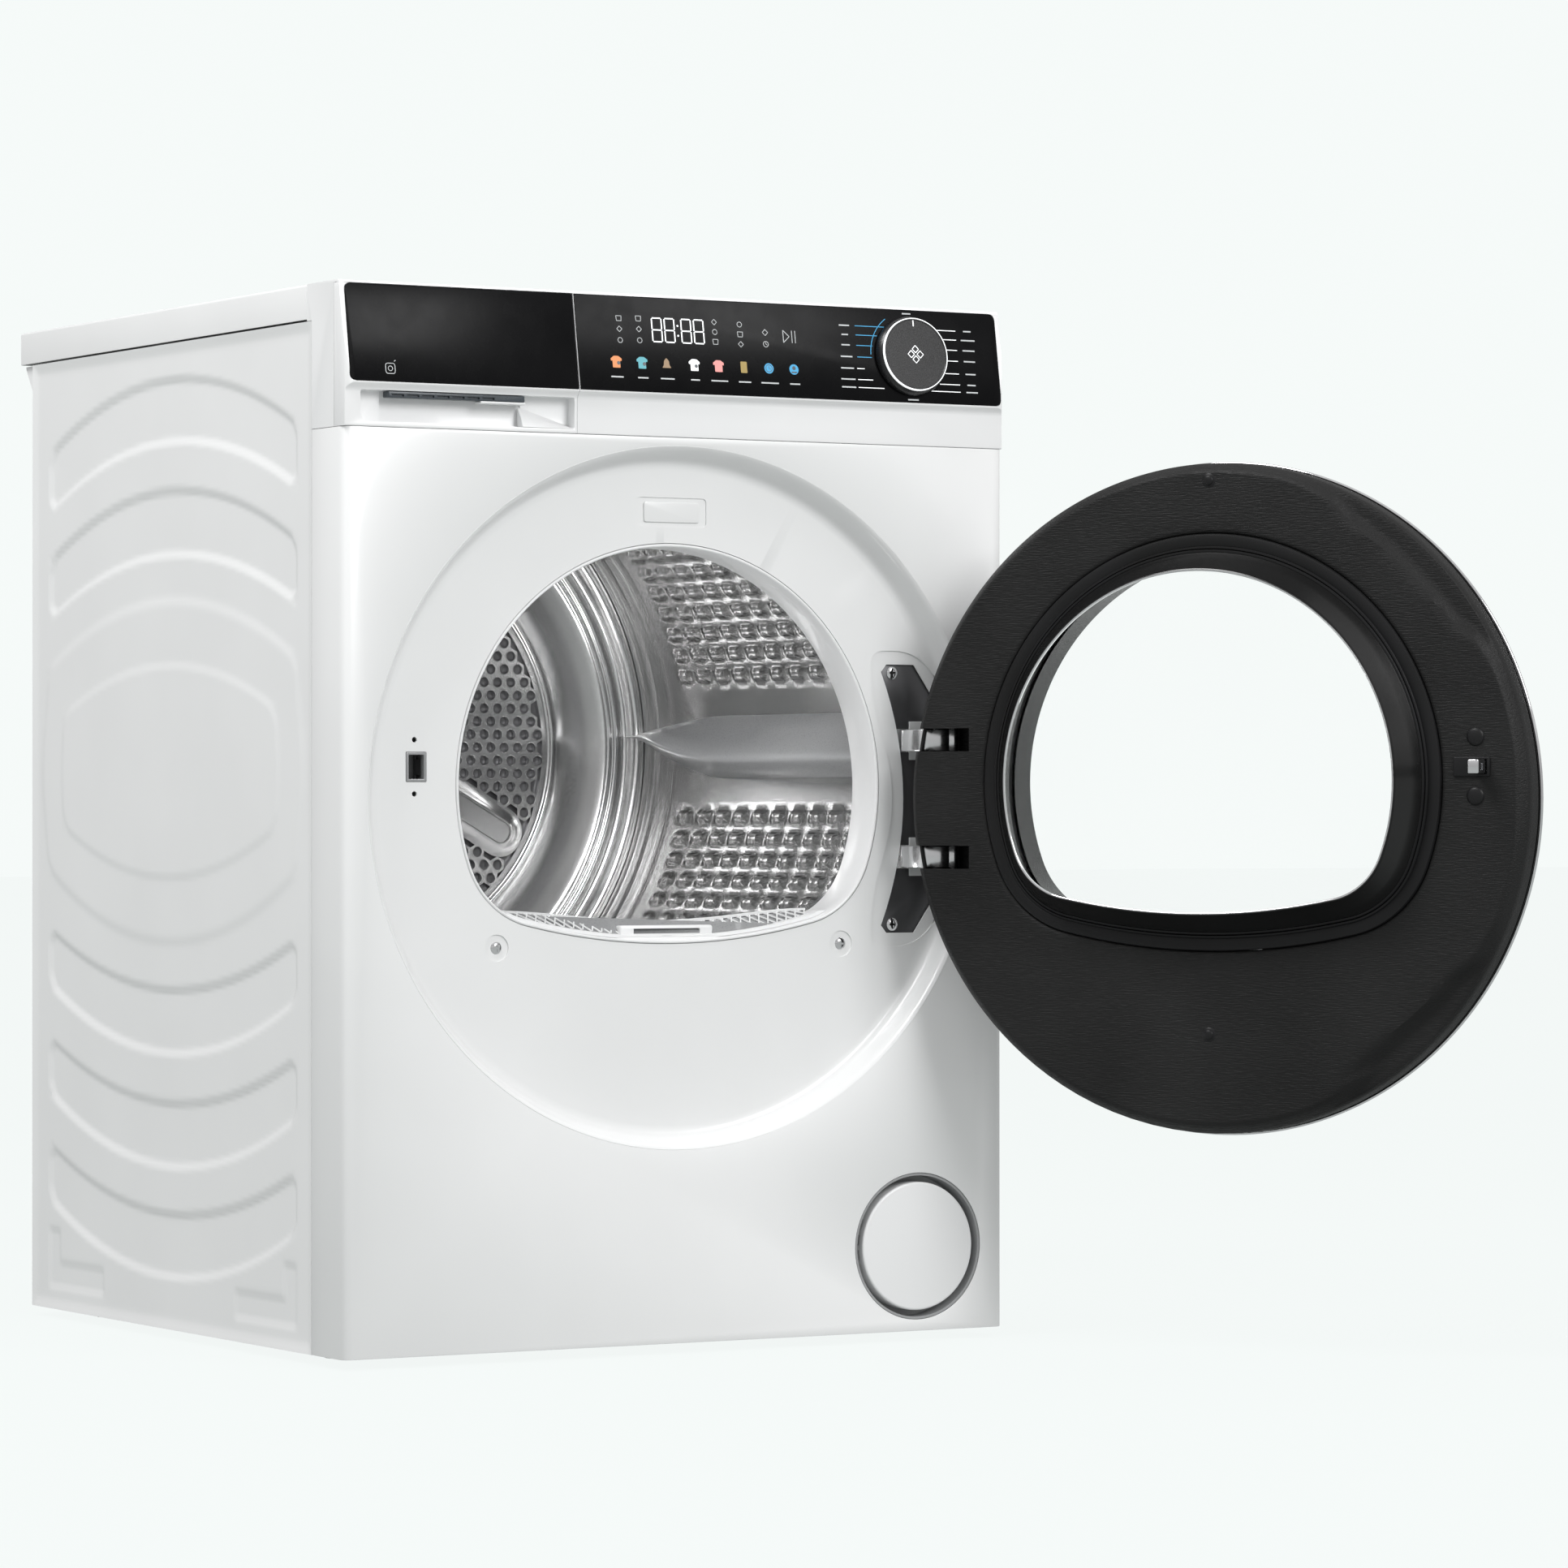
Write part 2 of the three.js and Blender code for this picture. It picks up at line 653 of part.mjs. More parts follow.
function drumBelt() {
  const circles = [
    { x: 0, z: DRUM.z, radius: DRUM.radius + DRUM.sheet },
    { x: PULLEY.x, z: PULLEY.z, radius: PULLEY.radius },
    { x: IDLER.x, z: IDLER.z, radius: IDLER.radius },
  ];
  const clear = 1.1;
  const band = (grow) =>
    slabY(new THREE.Shape(beltLoop(circles, grow)), BELT.front, BELT.front + BELT.width);
  const inner = slabY(
    new THREE.Shape(beltLoop(circles, clear)),
    BELT.front - 5,
    BELT.front + BELT.width + 5,
  );
  return band(clear + BELT.thick).subtract(inner);
}

const motorHousing = () =>
  join(
    barY(52, PULLEY.x, PULLEY.z, 335, 430, 24),
    block(PULLEY.x - 38, PULLEY.x + 38, 350, 415, 3.4, 90),
    idlerBracket(),
  ).subtract(barY(6.5, PULLEY.x, PULLEY.z, 320, 440, 16));

const motorShaft = () =>
  join(
    barY(6, PULLEY.x, PULLEY.z, 294, 470, 16),
    barY(PULLEY.radius, PULLEY.x, PULLEY.z, 295, 318),
  );

function fanImpeller() {
  const { x, z } = PULLEY;
  let wheel = join(
    barY(62, x, z, 478, 481, 24),
    barY(11, x, z, 450, 480, 16),
  ).subtract(barY(6.4, x, z, 440, 472, 16));
  for (let i = 0; i < 8; i++) {
    const blade = block(-1.5, 1.5, 452, 479, 30, 60).rotate([0, i * 45, 0]);
    wheel = wheel.add(blade.translate([x, 0, z]));
  }
  return wheel.add(
    turned(
      [
        [57, 450],
        [61, 450],
        [61, 454],
        [57, 454],
      ],
      x,
      z,
      24,
    ),
  );
}

// The fan's scroll, its outlet running back to the hole in the rear bulkhead.
function fanHousing() {
  const { x, z } = PULLEY;
  const scroll = join(
    barY(76, x, z, 440, 495, 24),
    block(x - 40, x + 40, 440, 495, z, 225),
    block(x - 40, x + 40, 490, 561.7, 160, 225),
  );
  const room = join(
    barY(73, x, z, 443, 492, 24),
    block(x - 37, x + 37, 443, 492, z, 222),
    block(x - 37, x + 37, 485, 565, 163, 222),
  );
  return scroll
    .subtract(room)
    .subtract(barY(40, x, z, 430, 450, 24))
    .add(block(x - 60, x + 60, 446, 490, 3.4, 50).subtract(barY(74, x, z, 440, 500, 32)));
}

const idlerPulley = () => {
  const { x, z, radius } = IDLER;
  return barY(radius, x, z, 297, 315).subtract(barY(4.4, x, z, 290, 320, 16));
};

// The arm and pin that hold the idler, bolted to the motor's foot.
const idlerBracket = () =>
  join(
    barY(4, IDLER.x, IDLER.z, 296, 324, 16),
    block(IDLER.x - 10, IDLER.x + 10, 322, 325, 3.4, IDLER.z + 8),
    block(PULLEY.x + 30, IDLER.x + 10, 322, 360, 3.4, 6.4),
  );

// ---------------------------------------------------------------- heat pump in the base
function coilBlock(y0, y1) {
  let fins = block(132, 276, y0, y1, 14, 150);
  for (let i = 0; i < 7; i++) {
    const x = 148 + i * 17;
    fins = fins.subtract(block(x, x + 6, y0 - 5, y1 + 5, 26, 138));
  }
  return fins;
}

const compressor = () => {
  const can = new THREE.LatheGeometry(
    [
      [0, 12],
      [52, 12],
      [60, 24],
      [60, 140],
      [48, 162],
      [0, 168],
    ].map(([r, h]) => new THREE.Vector2(r, h)),
    20,
  ).rotateX(Math.PI / 2);
  return join(solid(can.translate(20, 470, 0)), block(-45, 85, 420, 520, 3.4, 14));
};

const refrigerantPipe = () =>
  tube(
    [
      [20, 470, 171],
      [30, 462, 186],
      [70, 440, 186],
      [110, 415, 176],
      [150, 396, 160],
      [180, 388.4, 152.5],
    ],
    4,
    12,
  );

const condensatePump = () =>
  join(barZ(24, 30, 130, 3.4, 44), block(6, 54, 108, 152, 3.4, 20), barZ(5, 30, 130, 40, 62, 12));

// ---------------------------------------------------------------- filter, cap and latch
function filterFrame() {
  const flange = slabY(mouthArch(3.3), 25.9, 47.1)
    .subtract(slabY(mouthArch(6.3), 10, 70))
    .intersect(block(-150, 150, 20, 60, 300, 338));
  const box = block(-121, 121, 26, 47, 168, 322).intersect(slabY(mouthArch(3.3), 20, 60).add(
    block(-121, 121, 20, 60, 160, 318),
  ));
  const hollow = block(-118, 118, 28.5, 44.5, 171, 345);
  const windows = [-1, 0, 1].map((i) => block(i * 80 - 34, i * 80 + 34, 40, 60, 180, 300));
  const handle = block(-30, 30, 32, 42, 314, 321.5);
  return cut(join(flange, box), hollow, ...windows).add(
    block(-119, 119, 34, 38, 312, 317).add(handle),
  );
}

function serviceRing() {
  const { x, z, ring } = SERVICE;
  const r = ring - GAP;
  return turned(
    [
      [r - 2, 0.4],
      [r, 0.4],
      [r, 6.9],
      [ring + 5, 6.9],
      [ring + 5, 20],
      [50, 20],
      [50, 18],
      [r - 2, 18],
    ],
    x,
    z,
    28,
  );
}

function serviceCap() {
  const { x, z, cap } = SERVICE;
  let made = turned(
    [
      [0, 0.4],
      [cap - 1.2, 0.4],
      [cap, 1.6],
      [cap, 16.5],
      [48.5, 16.5],
      [48.5, 40],
      [46, 40],
      [46, 3],
      [0, 3],
    ],
    x,
    z,
    28,
  );
  for (let i = -2; i < 2; i++) {
    const high = z + i * 12 + 2;
    made = made.subtract(block(x - cap - 5, x - 44, 7, 13, high, high + 8));
  }
  return made;
}

function latchHousing() {
  const { x, z } = LATCH;
  return join(
    block(x - 13, x + 13, DISH.depth + SHEET + GAP, 43, z - 17, z + 17),
    block(x - 8.6, x + 8.6, DISH.depth, 24, z - 11.3, z + 11.3),
  )
    .subtract(block(x - 7, x + 7, 10, 30, z - 9.7, z + 9.7))
    .subtract(block(x - 10.5, x + 10.5, 25, 40, z - 14, z + 14))
    .subtract(barZ(1.9, x + 8, 37, z - 20, z + 20, 12));
}

const latchPawl = () =>
  join(
    block(LATCH.x + 7, LATCH.x + 9.6, 26.4, 37, LATCH.z - 6, LATCH.z + 6),
    barZ(1.5, LATCH.x + 8, 37, LATCH.z - 16, LATCH.z + 16, 12),
  );

// ---------------------------------------------------------------- hinge
function hingePlate() {
  const face = slabY(hingeOutline(-3), 21.3, 24.3);
  const windows = [-1, 1].map((side) => {
    const z = DOOR.z + side * ARM_OFFSET;
    return block(206, 246, 15, 35, z - ARM_HEIGHT / 2 - 0.6, z + ARM_HEIGHT / 2 + 0.6);
  });
  return cut(face, ...windows);
}

// A bent flat arm from the hinge plate round to the pin inside the door's slot.
function hingeArm(side) {
  const z = DOOR.z + side * ARM_OFFSET;
  const path = new THREE.CatmullRomCurve3(
    [
      [240, 28],
      [224, 26.5],
      [214.5, 19],
      [212, 6],
      [215.5, -8],
      [225, -16.5],
      [238.2, -18.5],
    ].map(([x, y]) => new THREE.Vector3(x, y, 0)),
  );
  const half = 2;
  const outlines = [[], []];
  for (let i = 0; i <= 12; i++) {
    const p = path.getPoint(i / 12);
    const t = path.getTangent(i / 12);
    outlines[0].push(new THREE.Vector2(p.x - t.y * half, p.y + t.x * half));
    outlines[1].unshift(new THREE.Vector2(p.x + t.y * half, p.y - t.x * half));
  }
  const low = z - ARM_HEIGHT / 2;
  const high = z + ARM_HEIGHT / 2;
  return join(
    slabZ(new THREE.Shape([...outlines[0], ...outlines[1]]), low, high),
    barZ(5.2, HINGE.x, HINGE.y, low, high, 12),
    block(224, 242, 25, 30, z - 17, z + 17),
  ).add(barZ(PIN_RADIUS, HINGE.x, HINGE.y, z - 14, z + 14, 12));
}

// ---------------------------------------------------------------- door, drawn shut
const WINDOW = { half: 193.5, top: 634, bottom: 308.5 };

const windowPoints = (inset) =>
  archPoints(WINDOW.half - inset, WINDOW.top - inset, WINDOW.bottom + inset, 82 - inset);

const windowSlab = (inset, y0, y1) => slabY(new THREE.Shape(windowPoints(inset)), y0, y1);

function doorInnerFrame() {
  const { z, rim, face, back } = DOOR;
  const wall = 2.5;
  const skin = turned(
    [
      [0, face],
      [252, face],
      [259, face - 4],
      [rim, 6],
      [rim, back],
      [rim - wall, back],
      [rim - wall, 5],
      [256.5, face - 6],
      [251, face - wall],
      [0, face - wall],
    ],
    0,
    z,
    40,
  );
  const armSides = [-1, 1].map((side) => DOOR.z + side * ARM_OFFSET);
  const bosses = armSides.map((zc) => block(202, 246, -27, face - 1, zc - 16, zc + 16));
  const slots = armSides.map((zc) => block(207.2, 275, -24.5, face + 5, zc - 9.2, zc + 9.2));
  const bores = armSides.map((zc) => barZ(PIN_RADIUS + 0.5, HINGE.x, HINGE.y, zc - 14.5, zc + 14.5, 16));
  return cut(join(skin, ...bosses), windowSlab(0, -40, 40), ...slots, ...bores);
}

function doorOuterShell() {
  return turned(
    [
      [196, -44],
      [225, -43],
      [246, -38],
      [257, -30],
      [262.3, -20],
      [262.3, -12],
      [259.8, -12],
      [259.8, -19.4],
      [254.6, -28.6],
      [244.6, -35.6],
      [224.6, -40.5],
      [196, -41.5],
    ],
    0,
    DOOR.z,
  );
}

const doorTrimRing = () =>
  turned(
    [
      [262.7, -19],
      [265.3, -18],
      [265.3, -12.8],
      [262.7, -12],
    ],
    0,
    DOOR.z,
  );

const doorOuterWindow = () =>
  turned(
    [
      [0, -52],
      [110, -50.5],
      [195.6, -44.4],
      [195.6, -41.4],
      [110, -47.5],
      [0, -49],
    ],
    0,
    DOOR.z,
  );

const doorBezel = () => windowSlab(0.4, -12, 18.6).subtract(windowSlab(11.5, -20, 30));

function doorGlassBowl() {
  const [rim, flat] = [windowPoints(12), windowPoints(30)];
  const [innerRim, innerFlat] = [windowPoints(15.5), windowPoints(33.5)];
  const outer = join(loft(rim, 4, rim, 16), loft(rim, 16, flat, 44));
  const inner = join(loft(innerRim, -5, innerRim, 14), loft(innerRim, 14, innerFlat, 40.5));
  return outer.subtract(inner);
}

function latchHook() {
  const { x, z } = LATCH;
  return block(x - 5, x + 4, DOOR.face + GAP, 36, z - 5.5, z + 5.5).subtract(
    block(x - 9, x + 9, 26, 31, z - 3, z + 3),
  );
}

const doorBumper = (z) => barY(7.3, -221, z, DOOR.face + GAP, 19.2, 16);

// ---------------------------------------------------------------- the whole machine
const rollers = [-1, 1].map((side) => roller(side));
const footNames = ["foot_front_left", "foot_front_right", "foot_rear_left", "foot_rear_right"];

const cabinet = new THREE.Group();
cabinet.add(
  named("base_pan", basePan(), "blackPlastic"),
  named("left_side_panel", sidePanel(-1), "enamel"),
  named("right_side_panel", sidePanel(1), "enamel"),
  named("rear_panel", rearPanel(), "galvanised"),
  named("front_panel", frontPanel(), "enamel"),
  named("worktop", worktop(), "enamel"),
  named("rear_top_rail", rearTopRail(), "whitePlastic"),
  named("control_fascia", controlFascia(), "whitePlastic"),
  named("control_glass", controlGlass(), "blackGlass"),
  named("control_board", controlBoard(), "circuit"),
  named("program_knob", programKnob(), "blackPlastic"),
  named("tank_front", tankFront(), "whitePlastic"),
  named("tank_glass", tankGlass(), "blackGlass"),
  named("water_tank", waterTank(), "whitePlastic"),
  named("tank_tray", tankTray(), "greyPlastic"),
  named("front_bulkhead", frontBulkhead(), "whitePlastic"),
  named("drum_felt", drumFelt(), "felt"),
  named("drum_wrapper", drumWrapper(), "stainless"),
  named("drum_back", drumBack(), "stainless"),
  named("rear_bulkhead", rearBulkhead(), "galvanised"),
  named("rear_bearing", rearBearing(), "darkMetal"),
  named("rear_duct", rearDuct(), "galvanised"),
  named("roller_left", rollers[0], "rubber"),
  named("roller_right", rollers[1], "rubber"),
  named("drum_belt", drumBelt(), "rubber"),
  named("motor_housing", motorHousing(), "galvanised"),
  named("motor_shaft", motorShaft(), "darkMetal"),
  named("fan_impeller", fanImpeller(), "blackPlastic"),
  named("fan_housing", fanHousing(), "greyPlastic"),
  named("idler_pulley", idlerPulley(), "greyPlastic"),
  named("evaporator", coilBlock(130, 225), "aluminium"),
  named("condenser", coilBlock(238, 384), "aluminium"),
  named("compressor", compressor(), "rubber"),
  named("refrigerant_pipe", refrigerantPipe(), "copper"),
  named("condensate_pump", condensatePump(), "blackPlastic"),
  named("filter_frame", filterFrame(), "whitePlastic"),
  named("service_ring", serviceRing(), "greyPlastic"),
  named("service_cap", serviceCap(), "whitePlastic"),
  named("latch_housing", latchHousing(), "greyPlastic"),
  named("latch_pawl", latchPawl(), "darkMetal"),
  named("hinge_plate", hingePlate(), "darkMetal"),
  named("hinge_arm_upper", hingeArm(1), "chrome"),
  named("hinge_arm_lower", hingeArm(-1), "chrome"),
);
[0, 120, 240].forEach((angle, i) => {
  cabinet.add(named(`lifter_${i + 1}`, lifter(angle), "greyPlastic"));
});
footPlaces().forEach(([x, y], i) => cabinet.add(named(footNames[i], foot(x, y), "rubber")));
cabinet.add(
  named("mains_inlet", block(-261.5, -218.5, 570, 594, 60.5, 89.5), "blackPlastic"),
);

const doorShut = new THREE.Group();
doorShut.position.copy(HINGE).negate();
doorShut.add(
  named("door_inner_frame", doorInnerFrame(), "blackPlastic"),
  named("door_outer_shell", doorOuterShell(), "blackPlastic"),
  named("door_trim_ring", doorTrimRing(), "chrome"),
  named("door_bezel", doorBezel(), "blackPlastic"),
  named("door_glass_bowl", doorGlassBowl(), "clearGlass"),
  named("door_outer_window", doorOuterWindow(), "clearGlass"),
  named("latch_hook", latchHook(), "chrome"),
  named("door_bumper_upper", doorBumper(474.5), "rubber"),
  named("door_bumper_lower", doorBumper(429.3), "rubber"),
);

const door = new THREE.Group();
door.position.copy(HINGE);
door.rotation.z = DOOR_OPEN;
door.add(doorShut);

const dryer = new THREE.Group();
dryer.position.y = -DEPTH / 2;
dryer.add(cabinet, door);

export default dryer;
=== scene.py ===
"""A front-loading heat-pump clothes dryer with its round door swung open.

Every piece is drawn in millimetres, with y = 0 at the front panel and z = 0 at the base pan's
underside. Door pieces are drawn with the door shut and swung open when they are placed.
"""

import json
import math

import bpy
from mathutils import Matrix, Vector
from mathutils.geometry import interpolate_bezier


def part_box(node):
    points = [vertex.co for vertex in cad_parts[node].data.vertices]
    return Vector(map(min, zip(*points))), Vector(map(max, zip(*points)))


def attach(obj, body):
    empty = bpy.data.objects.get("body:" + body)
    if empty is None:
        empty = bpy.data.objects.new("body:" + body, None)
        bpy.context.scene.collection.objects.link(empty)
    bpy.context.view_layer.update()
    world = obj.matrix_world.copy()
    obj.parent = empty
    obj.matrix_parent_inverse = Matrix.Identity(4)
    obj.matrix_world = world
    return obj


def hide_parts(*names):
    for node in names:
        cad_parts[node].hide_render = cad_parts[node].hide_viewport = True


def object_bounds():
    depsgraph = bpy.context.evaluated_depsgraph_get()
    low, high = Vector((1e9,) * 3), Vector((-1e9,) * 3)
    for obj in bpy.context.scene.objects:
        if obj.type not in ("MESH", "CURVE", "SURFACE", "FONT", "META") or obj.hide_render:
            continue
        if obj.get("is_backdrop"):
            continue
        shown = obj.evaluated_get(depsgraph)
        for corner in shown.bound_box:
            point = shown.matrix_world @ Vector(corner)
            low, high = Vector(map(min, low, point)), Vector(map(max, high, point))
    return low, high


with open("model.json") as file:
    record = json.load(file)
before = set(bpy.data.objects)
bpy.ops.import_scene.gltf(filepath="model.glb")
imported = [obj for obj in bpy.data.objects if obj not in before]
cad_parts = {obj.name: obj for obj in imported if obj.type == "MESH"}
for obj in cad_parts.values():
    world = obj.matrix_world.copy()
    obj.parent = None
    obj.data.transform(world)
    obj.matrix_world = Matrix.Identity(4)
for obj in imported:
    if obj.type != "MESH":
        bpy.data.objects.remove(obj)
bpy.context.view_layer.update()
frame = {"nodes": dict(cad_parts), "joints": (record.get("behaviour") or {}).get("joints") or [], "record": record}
joints = {joint["name"]: joint for joint in frame["joints"]}

MM = 0.001
FRONT_LOW, FRONT_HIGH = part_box("front_panel")
HALF = FRONT_HIGH.x / MM
SEAM = FRONT_HIGH.z / MM
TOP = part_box("worktop")[1].z / MM
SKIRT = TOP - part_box("worktop")[0].z / MM
DRUM_Z = joints["drum_spin"]["pos_m"][2] / MM
TO_FRAME = Matrix.Translation((0, FRONT_LOW.y, 0)) @ Matrix.Scale(MM, 4)

hinge = joints["door_swing"]
HINGE_X = hinge["pos_m"][0] / MM
HINGE_Y = (hinge["pos_m"][1] - FRONT_LOW.y) / MM
SWING = math.radians(-hinge["range_deg"][0])
PIVOT = Matrix.Translation((HINGE_X, HINGE_Y, 0))
OPENED = TO_FRAME @ PIVOT @ Matrix.Rotation(SWING, 4, "Z") @ PIVOT.inverted()

# The leaning control face: x across, s up the glass, n out of it.
LEAN = math.atan2(12.4, 76.3)
GLASS_FOOT = Vector((0, -4.6, 745))
GLASS_HEIGHT = 76.4
GLASS_HALF = 293.3
ON_GLASS = Matrix.Translation(GLASS_FOOT) @ Matrix(
    (
        (1, 0, 0, 0),
        (0, math.sin(LEAN), -math.cos(LEAN), 0),
        (0, math.cos(LEAN), math.sin(LEAN), 0),
        (0, 0, 0, 1),
    )
)
DRAWER_X = -95
KNOB_X, KNOB_S, KNOB_R = 209.5, 38, 32.5

RECESS_Z, RECESS_R, RECESS_FLOOR = 428, 276, 19.5
MOUTH = (191.5, 628.7, 312.8)
WINDOW = (193.5, 634, 308.5)
DOOR_Z, DOOR_R, DOOR_FACE = 427.5, 262, 17
ARM_OFFSET = 46.8
LATCH_X, LATCH_Z = -225.5, 451.6
SERVICE_X, SERVICE_Z = 216.5, 68


# ------------------------------------------------------------------ finishes
def new_finish(name, colour, roughness, metallic=0.0):
    finish = bpy.data.materials.new(name)
    finish.use_nodes = True
    shader = finish.node_tree.nodes["Principled BSDF"]
    shader.inputs["Base Color"].default_value = (*colour, 1)
    shader.inputs["Roughness"].default_value = roughness
    shader.inputs["Metallic"].default_value = metallic
    return finish, finish.node_tree, shader


def grain_texture(tree, scale, stretch=(1, 1, 1), turn=0.0, detail=3.0):
    """Noise in metres of the object, turned about Z and drawn out where stretch is small."""
    where = tree.nodes.new("ShaderNodeTexCoord").outputs["Object"]
    if turn:
        spin = tree.nodes.new("ShaderNodeVectorRotate")
        spin.rotation_type = "Z_AXIS"
        spin.inputs["Angle"].default_value = turn
        tree.links.new(where, spin.inputs["Vector"])
        where = spin.outputs["Vector"]
    mapping = tree.nodes.new("ShaderNodeMapping")
    mapping.inputs["Scale"].default_value = stretch
    tree.links.new(where, mapping.inputs["Vector"])
    noise = tree.nodes.new("ShaderNodeTexNoise")
    noise.inputs["Scale"].default_value = scale
    noise.inputs["Detail"].default_value = detail
    tree.links.new(mapping.outputs["Vector"], noise.inputs["Vector"])
    return noise.outputs["Fac"]


def spread(tree, value, low, high):
    reach = tree.nodes.new("ShaderNodeMapRange")
    reach.inputs["From Min"].default_value = 0.3
    reach.inputs["From Max"].default_value = 0.7
    reach.inputs["To Min"].default_value = low
    reach.inputs["To Max"].default_value = high
    tree.links.new(value, reach.inputs["Value"])
    return reach.outputs["Result"]


def tinted(tree, shader, value, dark, light):
    ramp = tree.nodes.new("ShaderNodeValToRGB")
    ramp.color_ramp.elements[0].position = 0.3
    ramp.color_ramp.elements[0].color = (*dark, 1)
    ramp.color_ramp.elements[1].position = 0.7
    ramp.color_ramp.elements[1].color = (*light, 1)
    tree.links.new(value, ramp.inputs["Fac"])
    tree.links.new(ramp.outputs["Color"], shader.inputs["Base Color"])


def rough(tree, shader, value, depth):
    bump = tree.nodes.new("ShaderNodeBump")
    bump.inputs["Distance"].default_value = depth
    tree.links.new(value, bump.inputs["Height"])
    tree.links.new(bump.outputs["Normal"], shader.inputs["Normal"])


def make_finish(
    name,
    dark,
    light,
    roughness,
    metallic=0.0,
    grain=400,
    stretch=(1, 1, 1),
    depth=0.00002,
    turn=0.0,
    coat=0.0,
    gleam=0.5,
):
    """A surface whose colour drifts slowly, and whose gloss and height follow a fine grain."""
    finish, tree, shader = new_finish(name, light, roughness[0], metallic)
    drift = grain_texture(tree, 9, detail=2)
    tinted(tree, shader, drift, dark, light)
    fine = grain_texture(tree, grain, stretch, turn)
    tree.links.new(spread(tree, fine, *roughness), shader.inputs["Roughness"])
    if depth:
        rough(tree, shader, fine, depth)
    shader.inputs["Specular IOR Level"].default_value = gleam
    shader.inputs["Coat Weight"].default_value = coat
    shader.inputs["Coat Roughness"].default_value = 0.06
    return finish


def glass_finish(name, colour, ior):
    """Clear glass, its tint drifting a little from place to place."""
    finish, tree, shader = new_finish(name, colour, 0.0)
    shader.inputs["Transmission Weight"].default_value = 1.0
    shader.inputs["IOR"].default_value = ior
    tinted(tree, shader, grain_texture(tree, 6, detail=1), [0.996 * c for c in colour], colour)
    return finish


def lit_finish(name, colour, strength):
    finish, tree, shader = new_finish(name, colour, 0.4)
    tinted(tree, shader, grain_texture(tree, 30), [0.9 * c for c in colour], colour)
    shader.inputs["Emission Color"].default_value = (*colour, 1)
    shader.inputs["Emission Strength"].default_value = strength
    return finish


